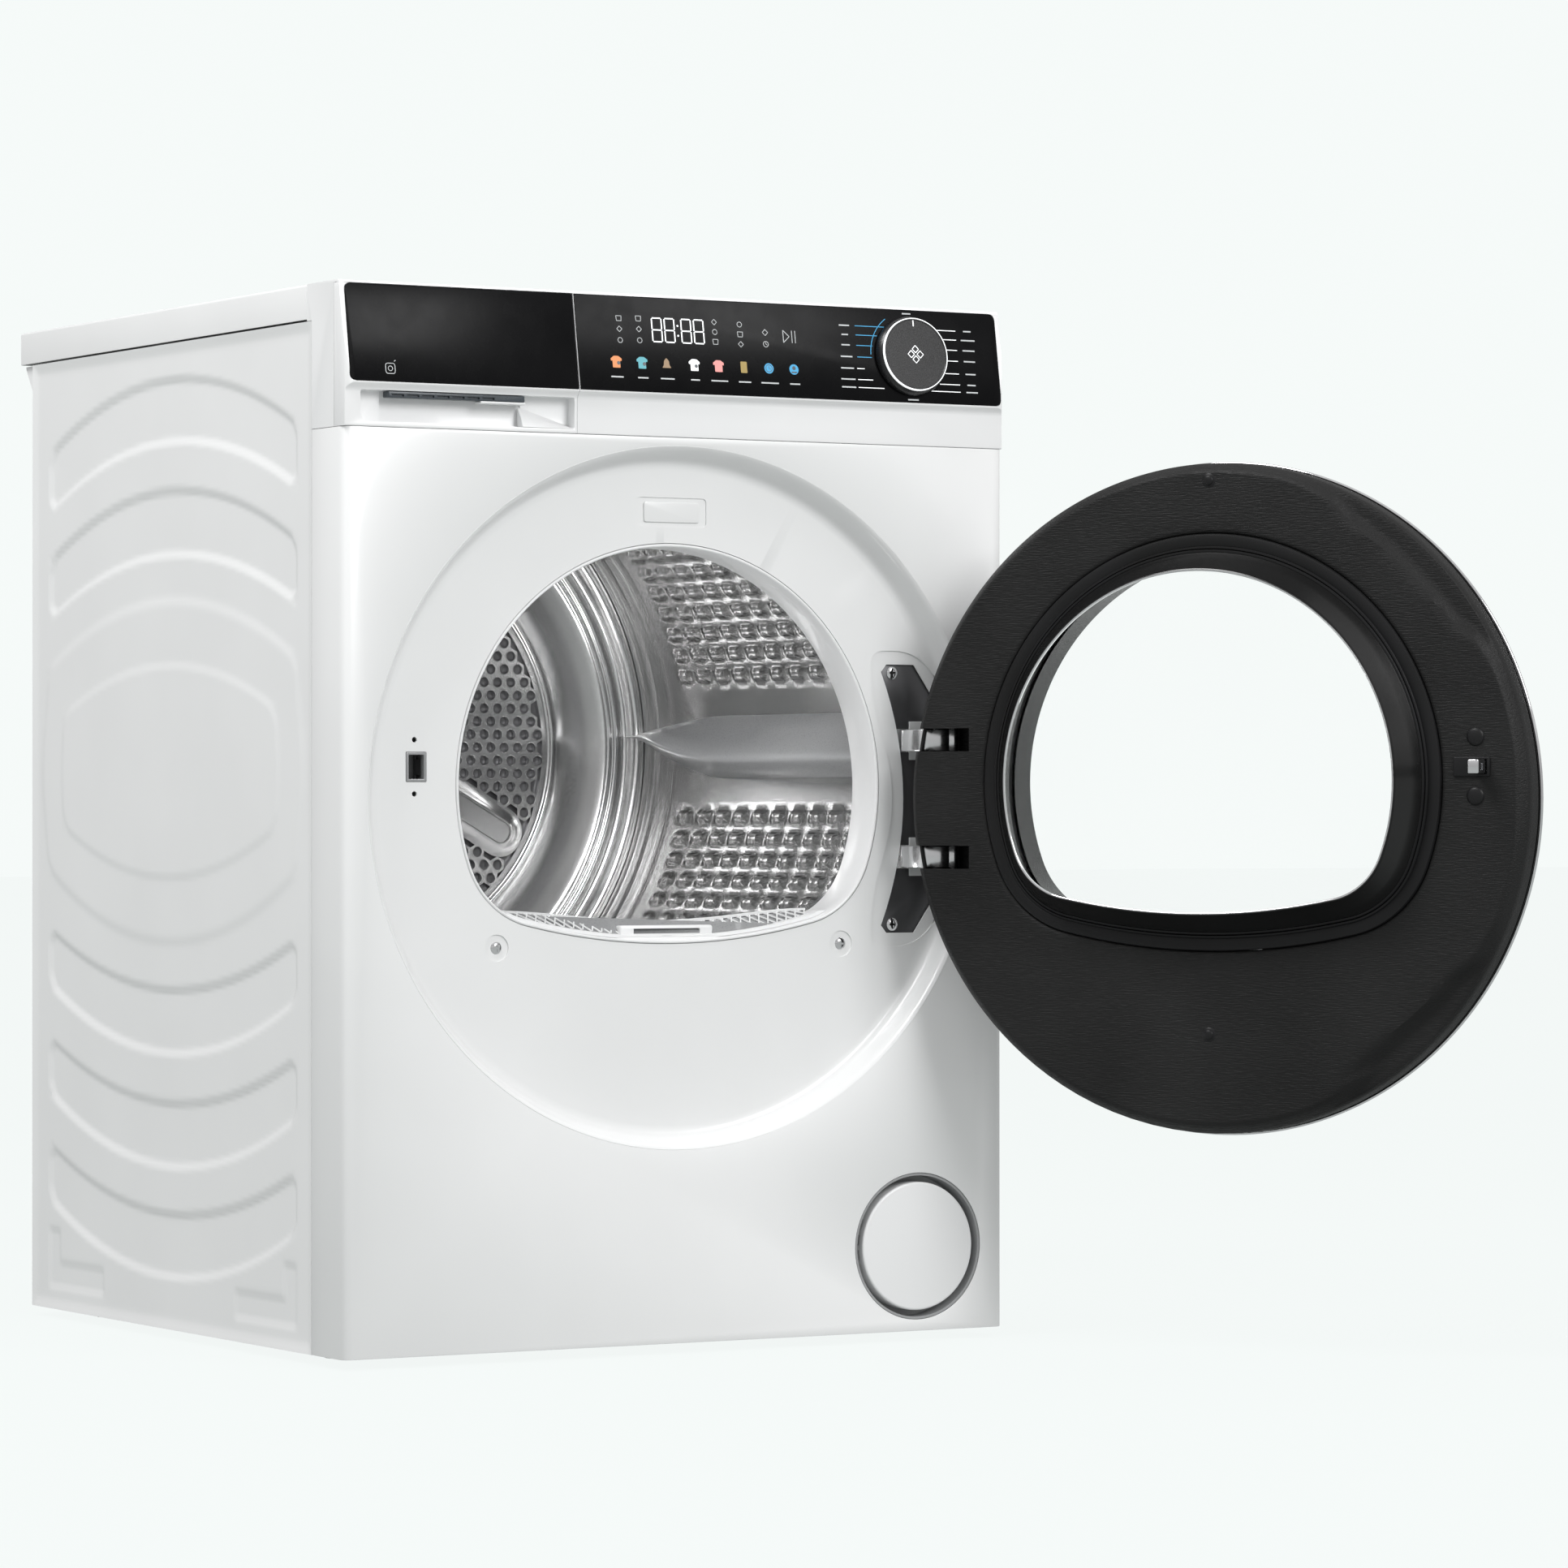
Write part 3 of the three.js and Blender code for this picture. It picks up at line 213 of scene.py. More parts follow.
FINISH = {
    "enamel": make_finish(
        "gloss_enamel", (0.835, 0.84, 0.84), (0.86, 0.865, 0.865), (0.28, 0.32), coat=0.3, grain=130,
        depth=0.000004,
    ),
    "white_plastic": make_finish(
        "white_moulding", (0.85, 0.855, 0.86), (0.88, 0.883, 0.885), (0.32, 0.37), grain=300, coat=0.2,
        depth=0.000005,
    ),
    "black_glass": make_finish(
        "black_panel_gloss", (0.0025, 0.0025, 0.003), (0.004, 0.004, 0.0045), (0.24, 0.30), grain=60,
        depth=0.000004, gleam=0.08,
    ),
    "black_grain": make_finish(
        "black_grained_moulding", (0.004, 0.004, 0.004), (0.011, 0.011, 0.011), (0.45, 0.62),
        grain=700, stretch=(0.16, 1, 1.3), depth=0.0006, turn=-SWING, gleam=0.28,
    ),
    "black_satin": make_finish(
        "black_satin_moulding", (0.008, 0.008, 0.008), (0.013, 0.013, 0.014), (0.36, 0.44), grain=1500,
        gleam=0.22,
    ),
    "black_gloss": make_finish(
        "black_gloss_moulding", (0.006, 0.006, 0.006), (0.010, 0.010, 0.010), (0.10, 0.16), grain=200,
        depth=0.000006, gleam=0.3,
    ),
    "knob_face": make_finish(
        "black_knob_moulding", (0.006, 0.006, 0.007), (0.011, 0.011, 0.012), (0.24, 0.32), grain=1200
    ),
    "grey_plastic": make_finish(
        "grey_moulding", (0.30, 0.305, 0.31), (0.345, 0.35, 0.355), (0.26, 0.33), grain=1100, coat=0.35
    ),
    "pale_plastic": make_finish(
        "pale_grey_moulding", (0.52, 0.53, 0.53), (0.60, 0.61, 0.61), (0.35, 0.45), grain=1100
    ),
    "dark_grip": make_finish(
        "blue_grey_moulding", (0.045, 0.055, 0.065), (0.07, 0.083, 0.095), (0.25, 0.35), grain=900
    ),
    "clear_tank": make_finish(
        "milky_moulding", (0.70, 0.73, 0.75), (0.78, 0.80, 0.82), (0.28, 0.36), grain=300
    ),
    "dark_metal": make_finish(
        "dark_steel", (0.10, 0.10, 0.104), (0.135, 0.135, 0.14), (0.30, 0.42), metallic=0.7, grain=800
    ),
    "galvanised": make_finish(
        "galvanised_sheet", (0.42, 0.44, 0.45), (0.60, 0.62, 0.63), (0.35, 0.5), metallic=0.9, grain=70
    ),
    "stainless": make_finish(
        "stainless_sheet", (0.52, 0.52, 0.52), (0.60, 0.60, 0.60), (0.205, 0.22), metallic=1.0,
        grain=90, stretch=(1, 0.2, 1), depth=0,
    ),
    "stainless_end": make_finish(
        "stainless_pressing", (0.52, 0.52, 0.52), (0.62, 0.62, 0.62), (0.15, 0.2), metallic=1.0,
        grain=400, depth=0,
    ),
    "bright_steel": make_finish(
        "bright_steel", (0.74, 0.74, 0.75), (0.82, 0.82, 0.83), (0.16, 0.22), metallic=1.0,
        grain=300, depth=0.000003,
    ),
    "bowl_side": make_finish(
        "dark_glass_edge", (0.004, 0.004, 0.004), (0.008, 0.008, 0.008), (0.20, 0.24), grain=500,
        depth=0, gleam=0.6,
    ),
    "chrome": make_finish(
        "polished_chrome", (0.70, 0.70, 0.71), (0.78, 0.78, 0.79), (0.04, 0.09), metallic=1.0, grain=200,
        depth=0.000003,
    ),
    "fins": make_finish(
        "aluminium_fins", (0.55, 0.56, 0.57), (0.68, 0.69, 0.70), (0.3, 0.45), metallic=1.0,
        grain=500, stretch=(6, 0.2, 0.2), depth=0.0003,
    ),
    "copper": make_finish(
        "copper_tube", (0.50, 0.24, 0.12), (0.66, 0.33, 0.18), (0.2, 0.35), metallic=1.0, grain=150
    ),
    "rubber": make_finish(
        "black_rubber", (0.012, 0.012, 0.012), (0.022, 0.022, 0.022), (0.5, 0.65), grain=1300
    ),
    "felt": make_finish(
        "grey_felt", (0.25, 0.245, 0.235), (0.36, 0.35, 0.335), (0.85, 0.95), grain=1800, depth=0.0004
    ),
    "circuit": make_finish(
        "circuit_board", (0.02, 0.10, 0.05), (0.03, 0.16, 0.09), (0.35, 0.5), grain=300
    ),
    "clear_glass": glass_finish("clear_window_glass", (1.0, 1.0, 1.0), 1.06),
    "lit_white": lit_finish("lit_white_print", (0.85, 0.87, 0.88), 0.75),
    "dim_white": lit_finish("dim_white_print", (0.55, 0.57, 0.58), 0.12),
    "print_blue": lit_finish("blue_print", (0.03, 0.30, 0.55), 0.35),
    "print_orange": lit_finish("orange_print", (0.70, 0.24, 0.07), 0.25),
    "print_teal": lit_finish("teal_print", (0.08, 0.36, 0.42), 0.25),
    "print_tan": lit_finish("tan_print", (0.30, 0.19, 0.10), 0.2),
    "print_pink": lit_finish("pink_print", (0.75, 0.28, 0.26), 0.25),
    "print_gold": lit_finish("gold_print", (0.33, 0.23, 0.05), 0.2),
}

SLOT_FINISH = {
    "enamel": "enamel",
    "worktop": "enamel",
    "white_plastic": "white_plastic",
    "black_glass": "black_glass",
    "black_plastic": "black_satin",
    "knob": "knob_face",
    "grey_plastic": "grey_plastic",
    "clear_tank": "clear_tank",
    "dark_metal": "dark_metal",
    "galvanised": "galvanised",
    "light_sheet": "galvanised",
    "stainless": "stainless",
    "chrome": "chrome",
    "fins": "fins",
    "motor_casting": "galvanised",
    "compressor_can": "black_satin",
    "copper": "copper",
    "rubber": "rubber",
    "felt": "felt",
    "clear_glass": "clear_glass",
    "circuit": "circuit",
}
NODE_SLOT = {row["node"]: row["material_slot"] for row in frame["record"]["subparts"]}
for node_name, node in frame["nodes"].items():
    node.data.materials.clear()
    node.data.materials.append(FINISH[SLOT_FINISH[NODE_SLOT[node_name]]])


# ------------------------------------------------------------------ drawing tools
def only(piece):
    bpy.ops.object.select_all(action="DESELECT")
    piece.select_set(True)
    bpy.context.view_layer.objects.active = piece


def open_mesh(piece):
    only(piece)
    bpy.ops.object.mode_set(mode="EDIT")
    bpy.ops.mesh.select_all(action="SELECT")


def close_mesh():
    bpy.ops.object.mode_set(mode="OBJECT")


def outline(name, points, fill="NGON"):
    """A ring of vertices through the points, filled with one face or left open."""
    bpy.ops.object.select_all(action="DESELECT")
    bpy.ops.mesh.primitive_circle_add(vertices=len(points), radius=1, fill_type=fill)
    piece = bpy.context.object
    for vertex, point in zip(piece.data.vertices, points):
        vertex.co = point
    piece.name = piece.data.name = name
    return piece


def pushed(name, points, move):
    """The outline's face pushed along move to a solid."""
    piece = outline(name, points)
    open_mesh(piece)
    bpy.ops.mesh.extrude_region_move(TRANSFORM_OT_translate={"value": move})
    bpy.ops.mesh.select_all(action="SELECT")
    bpy.ops.mesh.normals_make_consistent(inside=False)
    close_mesh()
    return piece


def slab(name, shape, y0, y1):
    """A shape of (x, z) points, from y0 to y1."""
    return pushed(name, [(x, y0, z) for x, z in shape], (0, y1 - y0, 0))


def turned(name, points, centre, axis, steps):
    """A closed ring of points turned once round an axis through centre."""
    piece = outline(name, points, fill="NOTHING")
    open_mesh(piece)
    bpy.ops.mesh.spin(steps=steps, angle=math.tau, center=centre, axis=axis)
    bpy.ops.mesh.select_all(action="SELECT")
    bpy.ops.mesh.remove_doubles(threshold=0.002)
    bpy.ops.mesh.delete_loose()
    bpy.ops.mesh.select_all(action="SELECT")
    bpy.ops.mesh.normals_make_consistent(inside=False)
    close_mesh()
    return piece


def spun(name, profile, centre=(0, 0), steps=144):
    """A closed profile of (radius, y) points turned about a line along Y through centre."""
    x, z = centre
    return turned(name, [(x + r, y, z) for r, y in profile], (x, 0, z), (0, 1, 0), steps)


def brick(name, low, high, bevel=0.0, segments=3):
    """A block between two corners, its edges rounded."""
    bpy.ops.object.select_all(action="DESELECT")
    bpy.ops.mesh.primitive_cube_add(size=1, location=(0, 0, 0))
    piece = bpy.context.object
    piece.name = piece.data.name = name
    size = [h - l for l, h in zip(low, high)]
    middle = [(h + l) / 2 for l, h in zip(low, high)]
    for vertex in piece.data.vertices:
        vertex.co = [c * s + m for c, s, m in zip(vertex.co, size, middle)]
    if bevel:
        round_edges(piece, bevel, segments)
    return piece


def apply_last(piece, modifier):
    only(piece)
    bpy.ops.object.modifier_apply(modifier=modifier.name)


def round_edges(piece, width, segments=2, angle=38):
    bevel = piece.modifiers.new("round", "BEVEL")
    bevel.width = width
    bevel.segments = segments
    bevel.limit_method = "ANGLE"
    bevel.angle_limit = math.radians(angle)
    apply_last(piece, bevel)


def combine(piece, operation, *tools):
    for tool in tools:
        change = piece.modifiers.new("combine", "BOOLEAN")
        change.operation = operation
        change.solver = "EXACT"
        change.object = tool
        apply_last(piece, change)
        bpy.data.objects.remove(tool)
    return piece


def cut(piece, *tools):
    combine(piece, "DIFFERENCE", *tools)


def merged(name, pieces):
    bpy.ops.object.select_all(action="DESELECT")
    for piece in pieces:
        piece.select_set(True)
    bpy.context.view_layer.objects.active = pieces[0]
    if len(pieces) > 1:
        bpy.ops.object.join()
    pieces[0].name = pieces[0].data.name = name
    return pieces[0]


def place(piece, body, finish, at=TO_FRAME, smooth=32):
    """Puts a finished drawing in the frame, gives it its finish and lets it ride on its body."""
    piece.data.transform(at)
    only(piece)
    bpy.ops.object.shade_smooth_by_angle(angle=math.radians(smooth))
    piece.data.materials.clear()
    piece.data.materials.append(FINISH[finish])
    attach(piece, body)


def eased(points, radius, steps=5):
    """A closed outline with every corner rounded; radius is one number or one per corner."""
    count = len(points)
    radii = radius if isinstance(radius, (list, tuple)) else [radius] * count
    made = []
    for i, (point, r) in enumerate(zip(points, radii)):
        here = Vector(point)
        before = Vector(points[i - 1]) - here
        after = Vector(points[(i + 1) % count]) - here
        reach = min(r, before.length * 0.49, after.length * 0.49)
        if reach < 1e-6:
            made.append(tuple(here))
            continue
        start = here + before.normalized() * reach
        end = here + after.normalized() * reach
        for k in range(steps + 1):
            t = k / steps
            made.append(tuple(start * (1 - t) ** 2 + here * 2 * t * (1 - t) + end * t * t))
    return made


def rect(x0, x1, z0, z1, radius=0.0, steps=6):
    return eased([(x0, z0), (x1, z0), (x1, z1), (x0, z1)], radius, steps)


def ring_points(cx, cz, radius, count=48):
    turns = [math.tau * i / count for i in range(count)]
    return [(cx + radius * math.cos(a), cz + radius * math.sin(a)) for a in turns]


def arch(half, top, bottom, corner=72, count=150):
    """The outline shared by the mouth, the throat and the window: a circle of radius half whose
    lower part is closed by a flat curve, with a rounded corner each side."""
    centre = top - half
    sag = 560
    sag_centre = bottom + sag
    reach, sag_reach = half - corner, sag - corner
    span = sag_centre - centre
    fillet_z = centre + (reach**2 - sag_reach**2 + span**2) / (2 * span)
    fillet_x = math.sqrt(reach**2 - (fillet_z - centre) ** 2)
    side = math.atan2(fillet_z - centre, fillet_x)
    low = math.atan2(fillet_z - sag_centre, fillet_x)

    def arc(cx, cz, r, a0, a1, n):
        turns = [a0 + (a1 - a0) * i / n for i in range(n)]
        return [(cx + r * math.cos(a), cz + r * math.sin(a)) for a in turns]

    small = count // 8
    return (
        arc(0, centre, half, side, math.pi - side, count - 3 * small)
        + arc(-fillet_x, fillet_z, corner, math.pi - side, math.pi - low, small)
        + arc(0, sag_centre, sag, -math.pi - low, low, small)
        + arc(fillet_x, fillet_z, corner, low, side, small)
    )


def mouth(inset, count=150):
    half, top, bottom = MOUTH
    return arch(half - inset, top - inset, bottom + inset, 72 - inset, count)


def window(inset, count=150):
    half, top, bottom = WINDOW
    return arch(half - inset, top - inset, bottom + inset, 82 - inset, count)


def skinned(name, rings, capped=False):
    """Outlines of equal count, each a list of points in space, bridged one to the next."""
    count = len(rings[0])
    piece = outline(name, rings[0], fill="NGON" if capped else "NOTHING")
    open_mesh(piece)
    for _ in rings[1:]:
        if capped:
            bpy.ops.mesh.extrude_region_move(TRANSFORM_OT_translate={"value": (0, 0, 0)})
        else:
            bpy.ops.mesh.extrude_edges_move(TRANSFORM_OT_translate={"value": (0, 0, 0)})
    close_mesh()
    vertices = piece.data.vertices
    for i, points in enumerate(rings):
        for k, point in enumerate(points):
            vertices[i * count + k].co = point
    open_mesh(piece)
    bpy.ops.mesh.normals_make_consistent(inside=False)
    close_mesh()
    return piece


def hollow_ring(name, rings):
    """Outlines bridged in a loop, the last back to the first, such as a lip round an opening."""
    piece = skinned(name, [*rings, rings[0]])
    open_mesh(piece)
    bpy.ops.mesh.remove_doubles(threshold=0.001)
    bpy.ops.mesh.normals_make_consistent(inside=False)
    close_mesh()
    return piece


def at_y(shape, y):
    return [(x, y, z) for x, z in shape]


def sheet_grid(name, columns, rows, shape):
    """A grid whose vertex at column u and row v is moved to shape(u, v)."""
    bpy.ops.object.select_all(action="DESELECT")
    bpy.ops.mesh.primitive_grid_add(
        x_subdivisions=len(columns) - 1, y_subdivisions=len(rows) - 1, size=2
    )
    piece = bpy.context.object
    piece.name = piece.data.name = name
    wide = len(columns)
    for index, vertex in enumerate(piece.data.vertices):
        vertex.co = shape(columns[index % wide], rows[index // wide])
    return piece


def thicken(piece, depth):
    wall = piece.modifiers.new("wall", "SOLIDIFY")
    wall.thickness = depth
    wall.offset = -1
    apply_last(piece, wall)


def smooth_line(points, steps):
    """Points along a smooth curve through the given points."""
    knots = [Vector(p).to_3d() for p in points]
    made = []
    for i in range(len(knots) - 1):
        before = knots[max(i - 1, 0)]
        after = knots[min(i + 2, len(knots) - 1)]
        a, b = knots[i], knots[i + 1]
        made += interpolate_bezier(a, a + (b - before) / 6, b - (after - a) / 6, b, steps)[:-1]
    return [*made, knots[-1]]


def fade(value, low, high):
    """0 below low, 1 above high, and a smooth step between."""
    t = min(max((value - low) / (high - low), 0), 1)
    return t * t * (3 - 2 * t)


# ------------------------------------------------------------------ cabinet
PANEL_MIDDLE = 323
# Height of each band's upper edge at its middle and ends, then the same of its lower edge.
BANDS = [
    (765.2, 717, 715.6, 669.4),
    (675.5, 627, 624.4, 579.6),
    (273.5, 317.8, 222.5, 271.7),
    (182.1, 226.2, 131.3, 180.6),
    (92.9, 137.2, 42.4, 92),
]
BAND_HALF = 236
BAND_CORNER = 14
SIDE_BASE = 2.1
BAND_DEPTH = 2.3
BIG_RISE, SMALL_RISE = 1.1, 0.95
FOOT_MARK_DEPTH = 1.4
PRESS_SLOPE = 4.6


def arch_height(y, middle, ends, half):
    """A circular arc of height middle at the panel's middle and ends at +-half."""
    rise = middle - ends
    radius = (half**2 + rise**2) / (2 * abs(rise))
    drop = radius - math.sqrt(max(radius**2 - (y - PANEL_MIDDLE) ** 2, 0))
    return middle - math.copysign(drop, rise)


def inside_shape(y, z, top, bottom, side):
    """How far a point lies inside a shape closed by two arcs and two upright sides."""
    near = sorted((top - z, z - bottom, side - abs(y - PANEL_MIDDLE)))
    if near[0] > 0 and near[1] < BAND_CORNER:
        return BAND_CORNER - math.hypot(BAND_CORNER - near[0], BAND_CORNER - near[1])
    return near[0]


def side_depth(y, z):
    """How far the side panel's face lies inside the cabinet's outermost plane."""
    depth = SIDE_BASE
    for mid_top, end_top, mid_low, end_low in BANDS:
        top = arch_height(y, mid_top, end_top, BAND_HALF)
        low = arch_height(y, mid_low, end_low, BAND_HALF)
        within = inside_shape(y, z, top, low, BAND_HALF)
        depth += BAND_DEPTH * fade(within, -PRESS_SLOPE / 2, PRESS_SLOPE / 2)
    lean = 12 * fade(abs(z - 450) / 92, 0, 1)
    big_top = arch_height(y, 587, 540, 229)
    big_low = arch_height(y, 312, 365, 229)
    big = inside_shape(y, z, big_top, big_low, 250 - lean)
    depth -= BIG_RISE * fade(big, -PRESS_SLOPE, PRESS_SLOPE)
    small_top = arch_height(y, 535, 498.6, 200)
    small_low = arch_height(y, 364, 404, 202)
    small = inside_shape(y, z, small_top, small_low, 208 - lean * 0.7)
    depth -= SMALL_RISE * fade(small, -PRESS_SLOPE / 2, PRESS_SLOPE / 2)
    for foot_y, away in ((560, -1), (86, 1)):
        along = (y - foot_y) * away
        upright = min(along, 22 - along, z - 18, 67 - z)
        lying = min(along, 110 - along, z - 18, 40 - z)
        depth += FOOT_MARK_DEPTH * fade(max(upright, lying), -2, 2.5)
    edge = min(y - 55, 592 - y, z, 794 - z)
    return depth * fade(edge, -0.5, 9)


def side_pressing(side):
    front, back, top = 55.1, 591.8, 794.1
    columns = [front + (back - front) * i / 158 for i in range(159)]
    rows = [top * i / 234 for i in range(235)]

    def shape(y, z):
        return (side * (HALF - side_depth(y, z)), y, z)

    name = "side_pressing_left" if side < 0 else "side_pressing_right"
    piece = sheet_grid(name, columns, rows, shape)
    open_mesh(piece)
    bpy.ops.mesh.normals_make_consistent(inside=False)
    close_mesh()
    if piece.data.polygons[0].normal.x * side < 0:
        piece.data.flip_normals()
    thicken(piece, 1.2)
    node = "left_side_panel" if side < 0 else "right_side_panel"
    flange = [
        brick("flange", (side * (HALF - 12), back - 1.4, 0.5), (side * (HALF - 0.4), back, top), 0.4),
        brick("flange", (side * (HALF - 12), front + 2, top - 1.4), (side * (HALF - 0.4), back, top), 0.4),
        brick("flange", (side * (HALF - 12), front + 2, 0.2), (side * (HALF - 0.4), back, 1.6), 0.4),
    ]
    for part in flange:
        open_mesh(part)
        bpy.ops.mesh.normals_make_consistent(inside=False)
        close_mesh()
    piece = merged(name, [piece, *flange])
    place(piece, "cabinet", "enamel")
    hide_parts(node)


def hinge_outline(inset):
    """The hinge plate's outline, its left edge curved along the mouth."""
    z = DOOR_Z
    high = 108 - inset
    right = 250 - inset
    left = 194 + inset
    points = [(left, z - high + 6), (left + 5, z - high), (225 - inset, z - high)]
    points += [(right, z - 72), (right, z + 72), (225 - inset, z + high), (left + 5, z + high)]
    points.append((left, z + high - 6))
    for i in range(1, 16):
        t = i / 16
        curve = 2 * t * (1 - t)
        points.append((left + 42 * curve, z + (high - 6) * ((1 - t) ** 2 - t**2)))
    return points


def front_sheet():
    corner, wall, back = 9, 1.5, 54.7
    outer = eased([(-HALF, back), (-HALF, 0), (HALF, 0), (HALF, back)], [0, corner, corner, 0], 10)
    inner = eased(
        [(HALF - wall, back), (HALF - wall, wall), (wall - HALF, wall), (wall - HALF, back)],
        [0, corner - wall, corner - wall, 0],
        10,
    )
    points = [(x, y, 0) for x, y in outer + inner]
    piece = pushed("front_sheet", points, (0, 0, SEAM))
    cut(
        piece,
        slab("tool", ring_points(0, RECESS_Z, RECESS_R + 0.4, 200), -5, 10),
        slab("tool", ring_points(SERVICE_X, SERVICE_Z, 59, 96), -5, 10),
    )
    round_edges(piece, 0.5, 2, 50)
    place(piece, "cabinet", "enamel")
    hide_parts("front_panel")


def door_recess():
    """The dished ring behind the door, with its mouth, hinge pocket and latch hole."""
    floor, wall = RECESS_FLOOR, 2.0
    face = [(RECESS_R + 0.2, 0.0), (274.8, 0.9), (273.2, 3.2), (271.8, 6.6), (270, 11), (268, 15)]
    face += [(265.8, 17.8), (262.5, 19.2), (258, floor)]
    profile = [(0, floor), *face[::-1], (RECESS_R + 1.6, 1.2), (273, 10), (269.5, 18.4)]
    profile += [(260, floor + wall), (0, floor + wall)]
    piece = spun("door_recess", profile, (0, RECESS_Z), 200)
    low = floor + wall + 3
    pocket = [
        (194 - 11, DOOR_Z - 119),
        (226, DOOR_Z - 119),
        (262, DOOR_Z - 80),
        (262, DOOR_Z + 80),
        (226, DOOR_Z + 119),
        (194 - 11, DOOR_Z + 119),
        (194 - 9, DOOR_Z + 80),
        (210, DOOR_Z),
        (194 - 9, DOOR_Z - 80),
    ]
    cut(
        piece,
        slab("tool", eased(pocket, [14, 20, 30, 30, 20, 14, 60, 90, 60], 8), 10, floor + 1.0),
        slab("tool", rect(-31.5, 31.5, 641.5, 664.5, 4), 10, floor + 0.9),
        slab("tool", mouth(0), 10, low),
        slab("tool", hinge_outline(0), 10, low),
        slab("tool", rect(LATCH_X - 9, LATCH_X + 9, LATCH_Z - 11.7, LATCH_Z + 11.7, 1), 10, low),
        slab("tool", ring_points(-227, 472.5, 2.1, 20), 10, low),
        slab("tool", ring_points(-227, 430.8, 2.1, 20), 10, low),
        slab("tool", ring_points(-155.6, 311.3, 10.5, 40), 10, floor + 1.1),
        slab("tool", ring_points(155.6, 311.3, 10.5, 40), 10, floor + 1.1),
    )
    round_edges(piece, 0.55, 3, 48)
    place(piece, "cabinet", "enamel")


def recess_badge():
    """The plain raised plate in the small recess above the mouth."""
    piece = slab("recess_plate", rect(-25, 25, 645, 661, 2.5), 19.1, 20.7)
    round_edges(piece, 0.5, 3)
    place(piece, "cabinet", "enamel")


def screw(name, x, z, y, radius):
    """A domed screw head with a cross recess, its face towards -Y."""
    profile = [(0, y), (radius * 0.45, y + 0.1), (radius * 0.8, y + 0.6), (radius, y + 1.5)]
    profile += [(radius, y + 2.4), (0, y + 2.4)]
    piece = spun(name, profile, (x, z), 32)
    arm, wide = radius * 0.62, radius * 0.16
    cut(
        piece,
        brick("tool", (x - arm, y - 2, z - wide), (x + arm, y + 0.9, z + wide)),
        brick("tool", (x - wide, y - 2, z - arm), (x + wide, y + 0.9, z + arm)),
    )
    place(piece, "cabinet", "chrome")


def bulkhead():
    """The white ring moulding of the drum's mouth: plate, throat with a rounded lip, filter well."""
    plate = slab("plate", rect(-284, 284, 150, 752, 8), 50, 53)
    cut(
        plate,
        slab("tool", mouth(1.5), 40, 60),
        brick("tool", (-300, 40, 732), (DRAWER_X + 3, 60, 760)),
        *[
            brick("tool", (196, 40, DOOR_Z + s * ARM_OFFSET - 20), (262, 60, DOOR_Z + s * ARM_OFFSET + 20))
            for s in (-1, 1)
        ],
    )
    lip = [(0.4, 56.4), (0.4, 20.8), (0.55, 19.6), (1.1, 19.0), (1.9, 18.9), (2.6, 19.3), (3.0, 20.3)]
    lip += [(3.1, 30), (3.1, 55.6), (2.7, 56.4)]
    throat = hollow_ring("throat", [at_y(mouth(inset), y) for inset, y in lip])
    well = brick("well", (-124, 23, 160), (124, 50.5, 318), 1.0)
    cut(well, brick("tool", (-121.5, 25.5, 100), (121.5, 47.5, 340)))
    piece = merged("mouth_moulding", [plate, throat, well])
    place(piece, "cabinet", "white_plastic")
    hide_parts("front_bulkhead")


def worktop():
    """The top, a tray open below, its long edges rounded."""
    low, front, back = TOP - SKIRT, 63.3, 617.9
    piece = brick("worktop_cover", (-HALF, front, low), (HALF, back, TOP))
    open_mesh(piece)
    bpy.ops.mesh.select_all(action="DESELECT")
    close_mesh()
    for face in piece.data.polygons:
        face.select = face.normal.z < -0.5
    only(piece)
    bpy.ops.object.mode_set(mode="EDIT")
    bpy.ops.mesh.inset(thickness=3)
    bpy.ops.transform.translate(value=(0, 0, SKIRT - 4))
    close_mesh()
    round_edges(piece, 2.2, 4, 60)
    place(piece, "cabinet", "enamel")
    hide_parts("worktop")


def rail():
    """The moulding below the worktop's overhang."""
    top, front = TOP - SKIRT - 0.3, 592.3
    points = [(front, top), (front, top - 30), (front + 8, top - 22)]
    points += [(front + 22, top - 2), (front + 22, top)]
    shape = eased(points, [0, 3, 3, 1.5, 0.5], 4)
    piece = pushed("back_rail", [(-HALF + 4, y, z) for y, z in shape], (2 * HALF - 8, 0, 0))
    place(piece, "cabinet", "white_plastic")
    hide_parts("rear_top_rail")


# ------------------------------------------------------------------ control panel and tank drawer
def fascia_section(inset):
    """The control panel's section, (y, z), moved inwards by inset."""
    foot = GLASS_FOOT
    points = [
        (inset, SEAM + 0.3 + inset),
        (inset, 739.6 + inset * 0.5),
        (foot.y + inset, foot.z - 0.8 + inset * 0.2),
        (foot.y + 12.4 + inset, foot.z + 76.3 - inset * 0.4),
        (foot.y + 14.6 + inset, TOP - inset),
        (63 + inset * 9, TOP - inset),
        (63 + inset * 9, TOP - SKIRT),
        (54.7 + inset * 9, TOP - SKIRT),
        (54.7 + inset * 9, SEAM + 0.3 + inset),
    ]
    return eased(points, [1.0, 2.5, 1.2, 1.2, 3.2, 0.8, 0.8, 0.8, 0.8], 4)


def fascia_block():
    piece = pushed("block", [(-HALF, y, z) for y, z in fascia_section(0)], (2 * HALF, 0, 0))
    front = GLASS_FOOT.y
    low = eased([(-HALF, 90), (-HALF, front), (HALF, front), (HALF, 90)], [0, 11, 11, 0], 10)
    plan = pushed("plan", [(x, y, 700) for x, y in low], (0, 0, 130))
    return combine(piece, "INTERSECT", plan)


